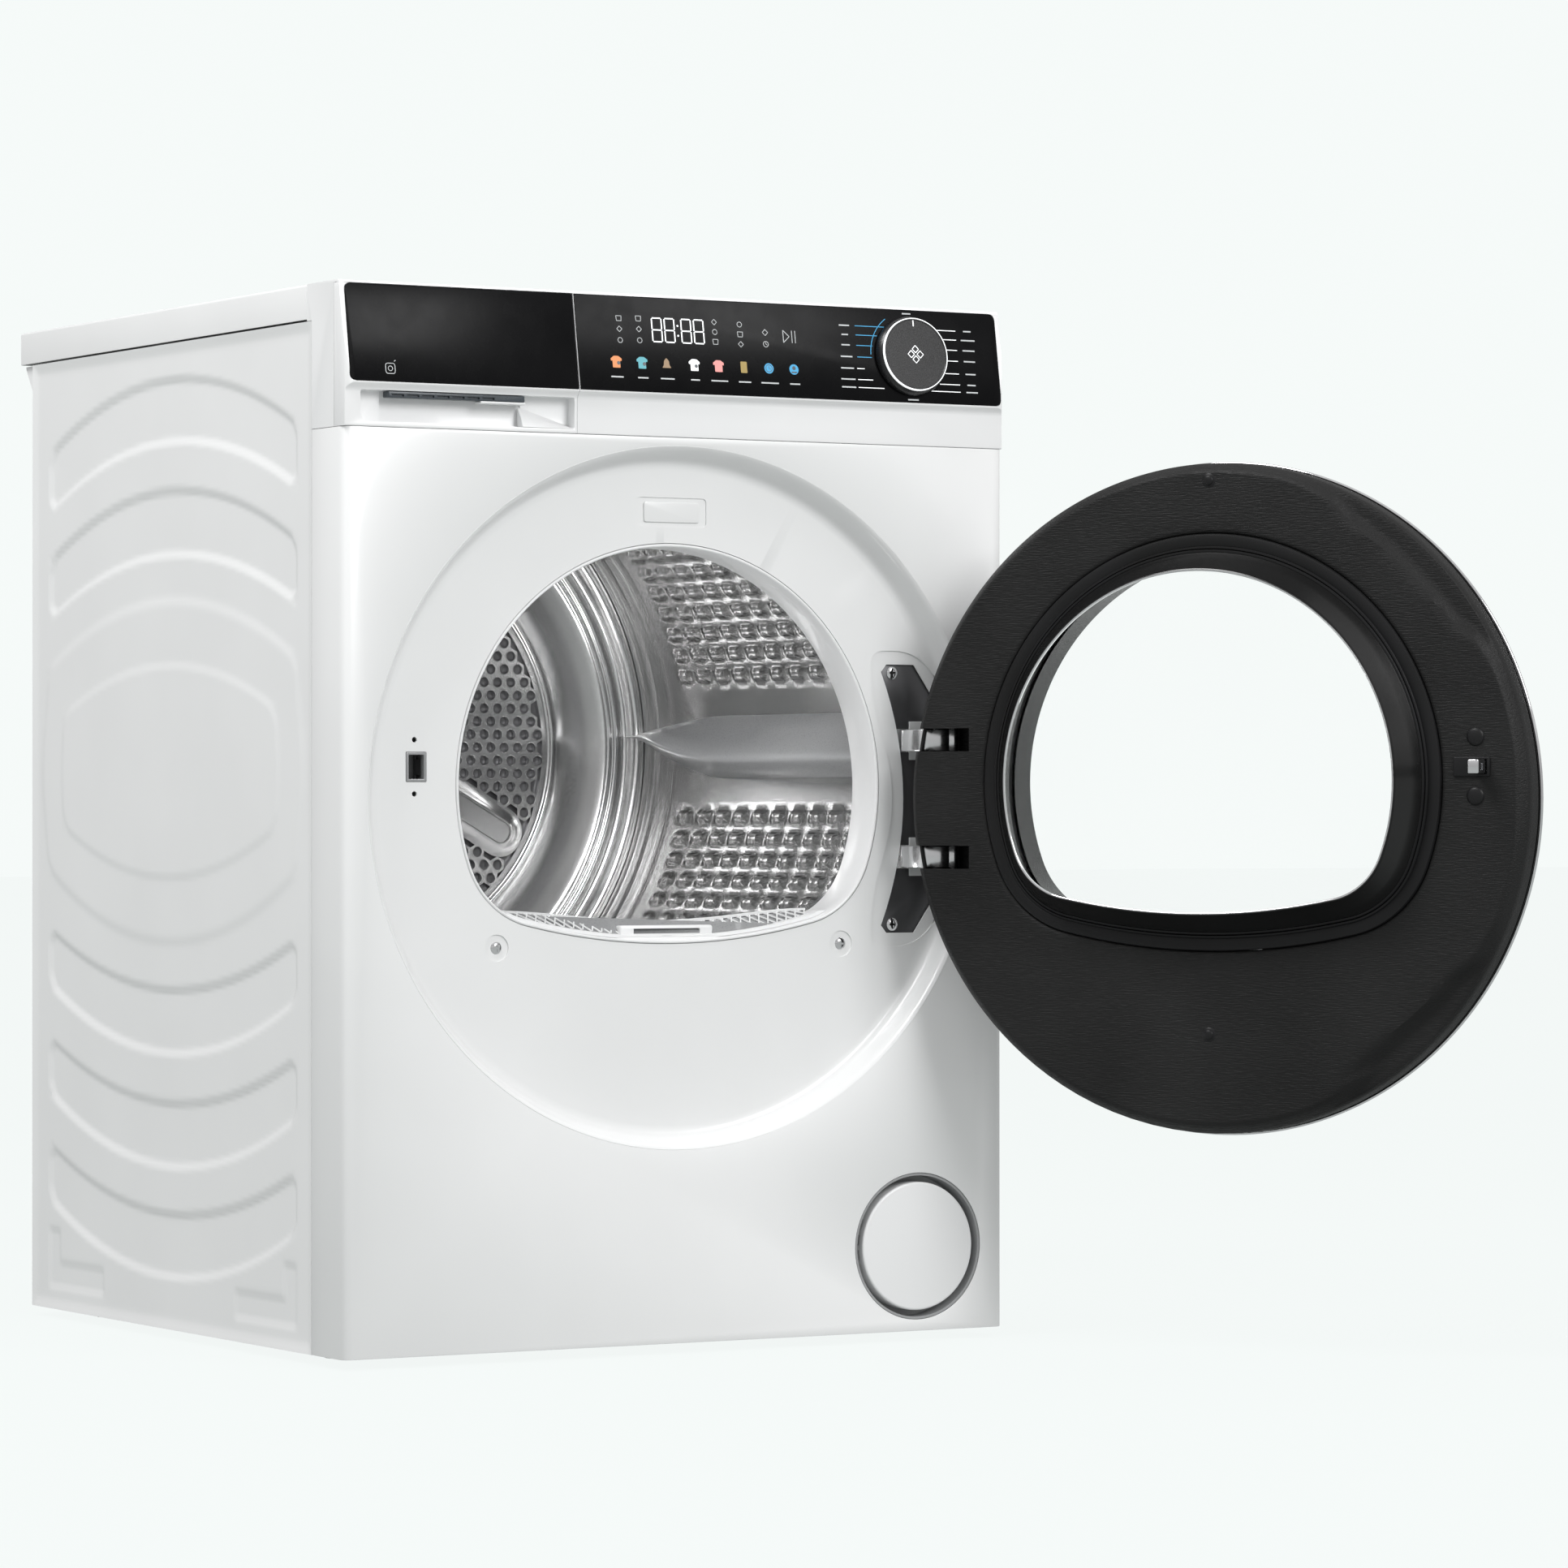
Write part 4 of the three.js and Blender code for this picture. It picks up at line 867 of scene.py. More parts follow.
def leaned(name, shape, n0, n1, bevel=0.0, segments=2):
    """A shape of (x, s) points on the leaning face, from n0 to n1 above it, still unturned."""
    piece = pushed(name, [(x, s, n0) for x, s in shape], (0, 0, n1 - n0))
    if bevel:
        round_edges(piece, bevel, segments)
    return piece


def leaned_tool(shape, n0, n1):
    piece = leaned("tool", shape, n0, n1)
    piece.data.transform(ON_GLASS)
    return piece


def glass_shape(x0, x1, inset):
    """A pane's outline, rounded at its outer end and nearly square where the two panes meet."""
    x0, x1, s0, s1 = x0 + inset, x1 - inset, 0.4 + inset, GLASS_HEIGHT - inset
    radii = [6, 0.5, 0.5, 6] if x1 < 0 else [0.5, 6, 6, 0.5]
    return eased([(x0, s0), (x1, s0), (x1, s1), (x0, s1)], radii, 8)


def control_panel():
    wall = 2.5
    piece = fascia_block()
    hollow = pushed(
        "tool",
        [(-HALF + wall, y, z) for y, z in fascia_section(wall)],
        (2 * HALF - 2 * wall, 0, 0),
    )
    cut(hollow, leaned_tool(rect(DRAWER_X, HALF, -2, 80), -wall * 2, 5))
    cut(
        piece,
        hollow,
        brick("tool", (-HALF + wall, 44, SEAM - 5), (HALF - wall, 90, SEAM + 9)),
        brick("tool", (-HALF - 5, -20, 700), (DRAWER_X, 16.5, TOP - 2)),
        leaned_tool(glass_shape(DRAWER_X + 0.5, GLASS_HALF, -0.3), -2.5, 5),
    )
    round_edges(piece, 0.5, 2, 50)
    place(piece, "cabinet", "white_plastic")
    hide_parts("control_fascia")

    pane = leaned("control_pane", glass_shape(DRAWER_X + 0.6, GLASS_HALF, 0), -2.2, 0, 0.35)
    cut(pane, leaned("tool", ring_points(KNOB_X, KNOB_S, 8.5, 40), -5, 5))
    place(pane, "cabinet", "black_glass", TO_FRAME @ ON_GLASS)
    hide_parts("control_glass")


def tank_drawer():
    piece = fascia_block()
    combine(
        piece,
        "INTERSECT",
        brick("tool", (-HALF - 5, -20, SEAM), (DRAWER_X - 0.4, 16.2, TOP - 2.3)),
    )
    recess = eased([(-283, 714.4), (-97.5, 714.4), (-97.5, 739), (-283, 739)], [9, 2, 2, 2], 6)
    cut(
        piece,
        slab("tool", recess, -20, 10.5),
        brick("tool", (-262, -1, 716), (-140, 13, 738)),
        leaned_tool(glass_shape(-GLASS_HALF, DRAWER_X - 0.5, -0.3), -2.5, 5),
    )
    round_edges(piece, 0.5, 2, 50)
    place(piece, "tank_drawer", "white_plastic")
    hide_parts("tank_front")

    pane = leaned("drawer_pane", glass_shape(-GLASS_HALF, DRAWER_X - 0.9, 0), -2.2, 0, 0.35)
    place(pane, "tank_drawer", "black_glass", TO_FRAME @ ON_GLASS)
    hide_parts("tank_glass")

    ramp_side = [(10.4, 714.6), (10.4, 731), (4, 722), (0.6, 714.8)]
    ramp = pushed("finger_ramp", [(-97.7, y, z) for y, z in ramp_side], (-45, 0, 0))
    for vertex in ramp.data.vertices:
        share = (-97.7 - vertex.co.x) / 45
        vertex.co.z = 714.6 + (vertex.co.z - 714.6) * (0.15 + 0.85 * share)
    round_edges(ramp, 0.8, 3)
    place(ramp, "tank_drawer", "white_plastic")

    grip = brick("drawer_grip", (-259, 0.6, 733.6), (-141, 10.2, 738.6), 0.8)
    cut(
        grip,
        *[brick("tool", (x, -2, 734.6), (x + 10.5, 2.2, 736.4)) for x in range(-256, -168, 13)],
    )
    place(grip, "tank_drawer", "dark_grip")
    lip = brick("drawer_grip_plate", (-180, -0.6, 731.6), (-141, 9.8, 733.4), 0.6)
    place(lip, "tank_drawer", "white_plastic")


FINE_LINE = 0.45
SCALE_LINE = 0.6
CAPTION_LINE = 1.1
PRINT_HIGH = 0.12


def print_on_glass(name, shapes, finish, body="cabinet", high=PRINT_HIGH):
    """Flat marks on the glass; each shape is a list of (x, s) points."""
    marks = [leaned("mark", shape, 0.0, high) for shape in shapes]
    piece = merged(name, marks)
    place(piece, body, finish, TO_FRAME @ ON_GLASS)


def bar(x0, s0, x1, s1, wide):
    """A straight stroke with square ends."""
    along = Vector((x1 - x0, s1 - s0)).normalized() * wide / 2
    across = Vector((-along.y, along.x))
    return [
        (x0 + across.x, s0 + across.y),
        (x0 - across.x, s0 - across.y),
        (x1 - across.x, s1 - across.y),
        (x1 + across.x, s1 + across.y),
    ]


def stroke_line(points, wide, closed=False):
    ends = points[1:] + (points[:1] if closed else [])
    return [bar(*a, *b, wide) for a, b in zip(points, ends)]


def digit(x, s, wide, high):
    """The seven lit strokes of one display digit."""
    gap, mid = 0.5, s + high / 2
    strokes = [(x + gap, s + high, x + wide - gap, s + high), (x + gap, mid, x + wide - gap, mid)]
    strokes.append((x + gap, s, x + wide - gap, s))
    for side in (x, x + wide):
        strokes.append((side, s + gap, side, mid - gap))
        strokes.append((side, mid + gap, side, s + high - gap))
    return [bar(*stroke, 1.0) for stroke in strokes]


def display():
    shapes = []
    for x in (-26.6, -15.2, -0.2, 11.2):
        shapes += digit(x, 41, 8.6, 19)
    shapes += [ring_points(-3.5, s, 0.8, 10) for s in (46.5, 54.5)]
    print_on_glass("display_digits", shapes, "lit_white")


def small_icons():
    """Plain generic signs beside the display, drawn as thin strokes."""
    shapes = []
    columns = [(-56, (41, 50, 58.5)), (-38.5, (41.5, 50.5, 59)), (30, (43, 51, 59)), (53, (42, 50, 58))]
    for x, rows in columns:
        for i, s in enumerate(rows):
            tub = [(x - 2, s - 2), (x + 2, s - 2), (x + 2.4, s + 2), (x - 2.4, s + 2)]
            diamond = [(x, s - 2.3), (x + 2.3, s), (x, s + 2.3), (x - 2.3, s)]
            sign = (tub, ring_points(x, s, 2.1, 10), diamond)[(i + round(x)) % 3]
            shapes += stroke_line(sign, FINE_LINE, True)
    shapes += stroke_line([(73.5, 52.5), (76, 50), (78.5, 52.5), (76, 55)], FINE_LINE, True)
    shapes += stroke_line(ring_points(76, 43, 2.3, 12), FINE_LINE, True)
    shapes += stroke_line([(76, 44.6), (76, 43), (77.2, 42.4)], 0.4)
    shapes += stroke_line([(92.5, 45), (92.5, 55), (98, 50)], 0.55, True)
    shapes += [bar(100.5, 45, 100.5, 55, 0.55), bar(103.5, 45, 103.5, 55, 0.55)]
    print_on_glass("display_signs", shapes, "dim_white")


def coloured_icons():
    spots = [
        (-61, "print_orange"), (-38, "print_teal"), (-16, "print_tan"), (9, "lit_white"),
        (31, "print_pink"), (54, "print_gold"), (77, "print_blue"), (100, "print_blue"),
    ]
    shirt = [(-3.4, -4.6), (3.4, -4.6), (3.4, 1.2), (4.6, 0.6), (5.0, 2.6), (2, 4.8), (-2, 4.8)]
    shirt += [(-5.0, 2.6), (-4.6, 0.6), (-3.4, 1.2)]
    bell = [(-4, -3.2), (4, -3.2), (2.6, -1), (2.2, 2.4), (0, 4.8), (-2.2, 2.4), (-2.6, -1)]
    slate = rect(-2.9, 2.9, -4.6, 4.6, 0.8, 3)
    disc = ring_points(0, 0, 4.2, 28)
    shapes = [shirt, shirt, bell, shirt, shirt, slate, disc, disc]
    for i, ((x, finish), shape) in enumerate(zip(spots, shapes)):
        moved = [(x + dx, 23.4 + ds) for dx, ds in eased(shape, 0.5, 2)]
        print_on_glass(f"program_sign_{i + 1}", [moved], finish)
    details = [ring_points(x + dx, 22.6, 1.5, 14) for x, dx in ((-61, 2), (-38, 2), (9, 1.6))]
    details += stroke_line(ring_points(77, 23.4, 2.9, 16), 0.5, True) + [ring_points(100, 24.4, 1.6, 14)]
    details += [bar(77, 23.4, 77, 25.2, FINE_LINE), bar(77, 23.4, 78.6, 22.8, FINE_LINE)]
    details.append(bar(97.6, 21, 102.4, 21, 1.2))
    print_on_glass("program_sign_details", details, "dark_grip", high=0.16)


def caption_bars():
    """Plain short bars where a real machine prints its captions."""
    below = [(-61, 5.5), (-38, 4.6), (-16, 6.2), (9, 4), (31, 7.6), (54, 5.6), (77, 8), (100, 4.6)]
    left = [(61.5, 8), (54, 5), (45.5, 6.5), (36, 9), (26.5, 10), (17.5, 11), (11, 11)]
    right = [(61, 6), (53.5, 11), (45, 9.5), (36, 9), (25.5, 8), (16.5, 6.5), (10.5, 9)]
    captions = [(x, 11.5, w) for x, w in below]
    captions += [(150, s, w * 0.6) for s, w in left] + [(266, s, w * 0.6) for s, w in right]
    captions += [(KNOB_X, 73.4, 4), (KNOB_X, 2.6, 5)]
    shapes = [bar(x - w, s, x + w, s, CAPTION_LINE) for x, s, w in captions]
    print_on_glass("caption_bars", shapes, "dim_white")


def knob_scale():
    left = [(26.5, 166), (17.5, 173), (11, 183)]
    right = [(61, 219), (53.5, 232), (45, 241), (36, 243.6), (25.5, 242), (16.5, 236), (10.5, 221)]
    upper_left = [(61.5, 190), (54, 180), (45.5, 175), (36, 173.6)]
    white = [bar(159, s, reach, s, SCALE_LINE) for s, reach in left]
    white += [bar(start, s, 255, s, SCALE_LINE) for s, start in right]
    blue = [bar(160, s, reach, s, SCALE_LINE) for s, reach in upper_left]
    turns = [math.radians(124 + i * 5) for i in range(12)]
    arc = [(KNOB_X + 36.5 * math.cos(a), KNOB_S + 36.5 * math.sin(a)) for a in turns]
    blue += stroke_line(arc, SCALE_LINE)
    print_on_glass("knob_scale_white", white, "lit_white")
    print_on_glass("knob_scale_blue", blue, "print_blue")


def link_sign():
    shapes = stroke_line(rect(-263, -255, 6.6, 14.6, 2, 3), 0.5, True)
    shapes += stroke_line(ring_points(-259, 10.6, 1.9, 10), FINE_LINE, True)
    shapes += stroke_line([(-255.4, 16.2), (-254.2, 17.2)], 0.5)
    print_on_glass("link_sign", shapes, "dim_white", "tank_drawer")


def spun_on_glass(name, profile, steps=120):
    """A closed profile of (radius, height) turned about the knob's axis."""
    points = [(KNOB_X + r, KNOB_S, n) for r, n in profile]
    return turned(name, points, (KNOB_X, KNOB_S, 0), (0, 0, 1), steps)


def knob():
    r = KNOB_R
    profile = [(0, 9.2), (r - 4.6, 9.2), (r - 4.2, 9.6), (r - 3.4, 9.6), (r - 3.0, 8.4), (r - 1.6, 7.2)]
    profile += [(r, 3.0), (r, 1.0), (r - 0.4, 0.6), (6, 0.6), (6, -16), (0, -16)]
    piece = spun_on_glass("program_dial", profile)
    at = TO_FRAME @ ON_GLASS
    place(piece, "program_knob", "knob_face", at)
    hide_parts("program_knob")
    ring = spun_on_glass(
        "dial_ring", [(r - 3.5, 8.6), (r - 3.5, 9.9), (r - 3.1, 10), (r - 2.7, 9.6), (r - 2.6, 8.0)]
    )
    place(ring, "program_knob", "lit_white", at)
    marks = [leaned("mark", bar(KNOB_X, KNOB_S + 23, KNOB_X, KNOB_S + 28, 0.9), 9.2, 9.34)]
    for dx, ds in ((0, 4.2), (4.2, 0), (0, -4.2), (-4.2, 0)):
        x, s = KNOB_X + dx, KNOB_S + ds
        for shape in stroke_line([(x, s - 3), (x + 3, s), (x, s + 3), (x - 3, s)], 0.6, True):
            marks.append(leaned("mark", shape, 9.2, 9.34))
    place(merged("dial_marks", marks), "program_knob", "lit_white", at)


# ------------------------------------------------------------------ drum
DRUM_R = 272
ROW_PITCH = 4.09
COLUMN_PITCH = 32


def drum_shell():
    """The wrapper, with rows of pressed pillows between its three lifters."""
    offsets = [-6.7, -5.4, -3.2, 0, 3.2, 5.4, 6.7]
    angles = []
    for sector in range(3):
        start = sector * 120
        angles += [start + a for a in (-10, -7, -3.5, 0, 3.5, 7, 10)]
        for row in range(24):
            middle = start + 13 + row * ROW_PITCH
            angles += [middle + math.degrees(o / DRUM_R) for o in offsets]
    angles = sorted(angles)
    angles.append(angles[0] + 360)
    columns = [112 + i * COLUMN_PITCH for i in range(12)]
    rows = [60, 76, 92]
    for y in columns:
        rows += [y - 10.5, y - 8.2, y - 4, y, y + 4, y + 8.2, y + 10.5]
    rows += [484, 490, 497, 498.5, 500, 503, 504.5, 506, 512, 517, 519, 520, 521, 522.5, 524, 528]
    rows += [531, 533, 534, 535, 536.5, 538, 539.5, 541]
    rows = sorted(rows)

    def swell(angle, y):
        local = angle % 120
        row = round((local - 13) / ROW_PITCH)
        if row < 0 or row > 23:
            return 0
        across = abs(math.radians(local - 13 - row * ROW_PITCH)) * DRUM_R
        near = min(columns, key=lambda c: abs(c - y))
        along = abs(y - near)
        rise = (1 - fade(across, 3.4, 6.7)) * (1 - fade(along, 7.2, 10.5))
        return rise * (2.6 + 2.6 * (along / 10.5) ** 2)

    def band(y):
        grooves = 1.6 * (fade(y, 519, 521) - fade(y, 521, 524)) + 1.6 * (
            fade(y, 533, 535) - fade(y, 535, 538)
        )
        return 5.0 * fade(y, 506, 541) + 1.2 * (fade(y, 497, 500) - fade(y, 503, 506)) - grooves

    def shape(angle, y):
        a = math.radians(angle)
        r = DRUM_R - swell(angle, y) - band(y)
        return (r * math.cos(a), y, DRUM_Z + r * math.sin(a))

    piece = sheet_grid("drum_shell", rows, angles, lambda y, angle: shape(angle, y))
    open_mesh(piece)
    bpy.ops.mesh.remove_doubles(threshold=0.01)
    bpy.ops.mesh.normals_make_consistent(inside=True)
    close_mesh()
    middle = piece.data.polygons[0]
    outward = Vector((middle.center.x, 0, middle.center.z - DRUM_Z))
    if middle.normal.dot(outward) > 0:
        piece.data.flip_normals()
    thicken(piece, 0.8)
    rim_line = [(262, 58), (DRUM_R + 1.1, 58), (DRUM_R + 1.1, 61), (DRUM_R - 0.2, 61)]
    rim_line += [(270, 59.2), (262, 59.2)]
    rim = spun("rim", eased(rim_line, 0.5, 3), (0, DRUM_Z), 160)
    piece = merged("drum_shell", [piece, rim])
    place(piece, "drum", "stainless", smooth=60)
    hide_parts("drum_wrapper")


HOLE_PITCH = 13.2


def perforated_plate():
    """One six-sided cell with a raised round hole, copied over the plate and merged."""
    edge = HOLE_PITCH / 2
    tips = edge / math.cos(math.pi / 6)

    def ring(middles, corners, y):
        radii = (middles, corners) * 6
        turns = [math.tau * i / 12 for i in range(12)]
        return [(r * math.cos(a), y, r * math.sin(a)) for r, a in zip(radii, turns)]

    steps = [(5.1, 0), (4.85, -0.45), (4.5, -0.5), (4.25, 0.3), (4.2, 3.2)]
    rings = [ring(edge, tips, 0)] + [ring(r, r, y) for r, y in steps]
    cell = skinned("cell", rings)
    for face in cell.data.polygons:
        if face.center.y < 0.1 and face.normal.y > 0.2:
            cell.data.flip_normals()
            break
    cells = []
    row_height = HOLE_PITCH * math.sqrt(3) / 2
    grooves = [math.radians(a) for a in (-30, 90, 210)]
    for row in range(-14, 15):
        for column in range(-14, 15):
            x = (column + (row % 2) / 2) * HOLE_PITCH
            z = row * row_height
            if math.hypot(x, z) > 168.5:
                continue
            in_groove = any(
                abs(-x * math.sin(g) + z * math.cos(g)) < 20 and 50 < x * math.cos(g) + z * math.sin(g)
                for g in grooves
            )
            if in_groove:
                continue
            copy = bpy.data.objects.new("cell", cell.data.copy())
            copy.data.transform(Matrix.Translation((x, 0, z)))
            bpy.context.collection.objects.link(copy)
            cells.append(copy)
    bpy.data.objects.remove(cell)
    piece = merged("drum_perforated_plate", cells)
    open_mesh(piece)
    bpy.ops.mesh.remove_doubles(threshold=0.05)
    close_mesh()
    piece.data.transform(Matrix.Translation((0, 552.4, DRUM_Z)))
    place(piece, "drum", "stainless_end", smooth=28)


def drum_end():
    """The drum's back: a stepped dish round the perforated plate, with three pressed grooves."""
    face = [(170, 552.7), (176, 552.6), (178, 550.6), (180, 550.4), (182, 552.4), (185, 555.2)]
    face += [(190, 556), (198, 555.4), (210, 553), (222, 549.6), (229, 547.2), (232, 545), (234.5, 544.6)]
    face += [(236.5, 546.2), (239, 544.4), (241.5, 544.4), (244, 547.5), (248, 550.2), (252, 549)]
    face += [(256, 544.6), (260, 541.6), (264, 541.2), (267, 541.8), (DRUM_R + 1.2, 541.4)]
    curve = [(p.x, p.y) for p in smooth_line(face, 5)]
    back = [(DRUM_R + 1.2, 543.2), (262, 543.8), (248, 552.6), (210, 555.6), (190, 558.4), (170, 556)]
    piece = spun("rings", [*curve, *back], (0, DRUM_Z), 192)
    # A dark disc just behind the perforated plate stands in for the shade seen through its holes: painted shade.
    # The short shaft at its middle is the drum's hub.
    shade_disc_and_shaft_line = [(0, 557), (176, 557), (176, 558), (14, 558), (14, 572), (0, 572)]
    shade_disc_and_shaft = spun("drum_shade_disc_and_shaft", shade_disc_and_shaft_line, (0, DRUM_Z), 64)
    place(shade_disc_and_shaft, "drum", "dark_metal")
    parts = [piece]
    for turn in (-30, 90, 210):
        floor = []
        for inset, y in ((-8, 552.6), (0, 552.4), (2, 550.8), (4.5, 551.2), (6.5, 555.5), (9, 556.4)):
            low, high, wide = 50 + inset, 162 - inset, 14 - inset
            turns = [math.radians(-90 + 12 * i) for i in range(16)]
            ends = [(high - wide + wide * math.cos(a), wide * math.sin(a)) for a in turns]
            starts = [(low + wide - wide * math.cos(a), -wide * math.sin(a)) for a in turns]
            floor.append(at_y(ends + starts, y))
        groove = skinned("groove", floor[::-1], capped=True)
        groove.data.transform(
            Matrix.Translation((0, 0, DRUM_Z)) @ Matrix.Rotation(-math.radians(turn), 4, "Y")
        )
        parts.append(groove)
    piece = merged("drum_end_rings", parts)
    place(piece, "drum", "stainless_end", smooth=50)
    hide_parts("drum_back")


def lifter(index, angle):
    """A ridge along the drum whose crest sweeps down to a point at the back."""
    stations = [76, 84, 110, 200, 300, 370, 410, 435, 460, 485, 505, 522, 534]
    half = [0.06, 0.17, 0.3, 0.45, 0.62, 0.8, 0.93, 1]
    across = [-share for share in reversed(half)] + half

    def shape(y, s):
        back = fade(y, 420, 534)
        wide = 27 * (1 - 0.96 * back) * (0.86 + 0.14 * fade(y, 76, 90))
        high = (57 - 24 * back) * (0.5 + 0.5 * fade(y, 70, 92))
        crest = -0.42 + 0.8 * fade(y, 330, 500)
        lean = s + crest * (1 - s * s)
        rise = (1 - abs(s) ** 1.5) ** 0.85
        r = DRUM_R - 2.4 - high * rise
        return (r, y, wide * lean + 9 * back)

    piece = sheet_grid(f"drum_lifter_{index}", stations, across, lambda y, s: shape(y, s))
    open_mesh(piece)
    bpy.ops.mesh.extrude_region_move(TRANSFORM_OT_translate={"value": (0, 0, 0)})
    close_mesh()
    for vertex in piece.data.vertices:
        if vertex.select:
            vertex.co.x = DRUM_R - 2.2
    open_mesh(piece)
    bpy.ops.mesh.remove_doubles(threshold=0.01)
    bpy.ops.mesh.normals_make_consistent(inside=False)
    close_mesh()
    soft = piece.modifiers.new("soft", "SUBSURF")
    soft.levels = soft.render_levels = 2
    apply_last(piece, soft)
    piece.data.transform(
        Matrix.Translation((0, 0, DRUM_Z)) @ Matrix.Rotation(-math.radians(angle), 4, "Y")
    )
    place(piece, "drum", "grey_plastic", smooth=60)
    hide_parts(f"lifter_{index}")


# ------------------------------------------------------------------ filter, cap, latch
def lint_filter():
    """The filter's white frame in the throat with its fine square mesh of wires."""
    low, high = 26.2, 46.8
    lip = [(3.4, low), (3.4, high), (6.0, high), (6.4, 45.5), (6.4, 27.5), (6.0, low)]
    flange = hollow_ring("flange", [at_y(mouth(inset), y) for inset, y in lip])
    combine(flange, "INTERSECT", brick("tool", (-150, 20, 300), (150, 60, 338)))
    body = brick("body", (-120.5, 26.3, 168), (120.5, 46.7, 316), 1.2)
    cut(body, brick("tool", (-118, 28.5, 171), (118, 44.5, 345)))
    for x in (-80, 0, 80):
        cut(body, slab("tool", rect(x - 34, x + 34, 180, 300, 5), 40, 60))
    columns = [i * 12.6 for i in range(-9, 10)]
    rows = [178 + i * 12 for i in range(11)]
    grid = [brick("wire", (x - 0.5, 44.8, 176), (x + 0.5, 45.6, 304)) for x in columns]
    grid += [brick("wire", (-116, 44.8, z), (116, 45.6, z + 1)) for z in rows]
    handle = brick("handle", (-42, 27, 313.5), (42, 44, 327.5), 2.0)
    cut(
        handle,
        brick("tool", (-30, 22, 321), (30, 34, 325)),
        *[brick("tool", (x, 20, 317.5), (x + 9, 30, 319.3)) for x in (-24, -4.5, 15)],
    )
    piece = merged("filter_moulding", [flange, body, handle, *grid])
    place(piece, "lint_filter", "white_plastic")
    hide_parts("filter_frame")


def filter_lattice():
    """The slanting bars that guard the filter's slot along the bottom of the mouth."""
    sag = 560

    def at(x, y):
        rise = (2 + 10 * (y - 28) / 18) * (1 - (x / 152) ** 4)
        return (x, y, MOUTH[2] + 4.0 + rise + sag - math.sqrt(sag**2 - x**2))

    bars = []
    for lean in (-1, 1):
        for i in range(-17, 18):
            x = i * 8.4
            foot, head = at(x, 28), at(x + lean * 10, 45.5)
            if max(abs(foot[0]), abs(head[0])) > 138:
                continue
            shape = [foot, (foot[0] + 1.3, foot[1], foot[2]), (head[0] + 1.3, head[1], head[2]), head]
            bars.append(pushed("bar", shape, (0, 0, 0.9)))
    piece = merged("filter_lattice", bars)
    place(piece, "lint_filter", "white_plastic")
    # A grey sheet under the lattice's bars, whose grey stands in for the shade in the gaps between them: painted
    # shade.
    rows = [[(x, y, z - 0.9) for x, y, z in (at(x, y) for x in range(-138, 139, 4))] for y in (27.4, 46.2)]
    front_row, back_row = rows
    gap_shade_sheet = outline("lattice_gap_shade_sheet", front_row + back_row[::-1])
    thicken(gap_shade_sheet, 0.5)
    place(gap_shade_sheet, "lint_filter", "grey_plastic")
    edge = [pushed("edge", [at(x, 46), at(x + 4.2, 46), at(x + 4.2, 47.2), at(x, 47.2)], (0, 0, 1.6))
            for x in range(-138, 135, 4)]
    place(merged("filter_edge", edge), "lint_filter", "white_plastic")


def service_cover():
    x, z = SERVICE_X, SERVICE_Z
    ring = eased(
        [(56.7, 0.5), (58.7, 0.5), (58.7, 6.9), (64, 6.9), (64, 20), (50.2, 20), (50.2, 18), (56.7, 18)],
        [0.5, 0.6, 0, 0.5, 0.5, 0.3, 0.3, 0.3],
        3,
    )
    piece = spun("service_surround", ring, (x, z), 128)
    place(piece, "cabinet", "grey_plastic")
    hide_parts("service_ring")
    cap = [(0, 0.4), (50.3, 0.4), (51.5, 1.6), (51.5, 16.5), (48.5, 16.5), (48.5, 40), (46, 40)]
    cap += [(46, 3), (0, 3)]
    piece = spun("service_disc", eased(cap, [0, 0.8, 0.8, 0.4, 0.3, 0.4, 0.4, 0.6, 0], 3), (x, z), 128)
    ribs = [brick("tool", (x - 55, 7, z + i * 12 + 2), (x - 47, 13, z + i * 12 + 10)) for i in range(-2, 2)]
    cut(piece, *ribs)
    place(piece, "pump_cap", "white_plastic")
    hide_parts("service_cap")


def latch():
    x, z = LATCH_X, LATCH_Z
    piece = slab("latch_body", rect(x - 13, x + 13, z - 17, z + 17, 2), 21.8, 43)
    collar = slab("collar", rect(x - 8.7, x + 8.7, z - 11.4, z + 11.4, 1), 19.0, 24)
    combine(piece, "UNION", collar)
    cut(
        piece,
        slab("tool", rect(x - 6.6, x + 6.6, z - 9.3, z + 9.3, 0.8), 10, 30),
        brick("tool", (x - 10.5, 25, z - 14), (x + 10.5, 40, z + 14)),
    )
    round_edges(piece, 0.35, 2, 50)
    place(piece, "cabinet", "grey_plastic")
    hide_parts("latch_housing")


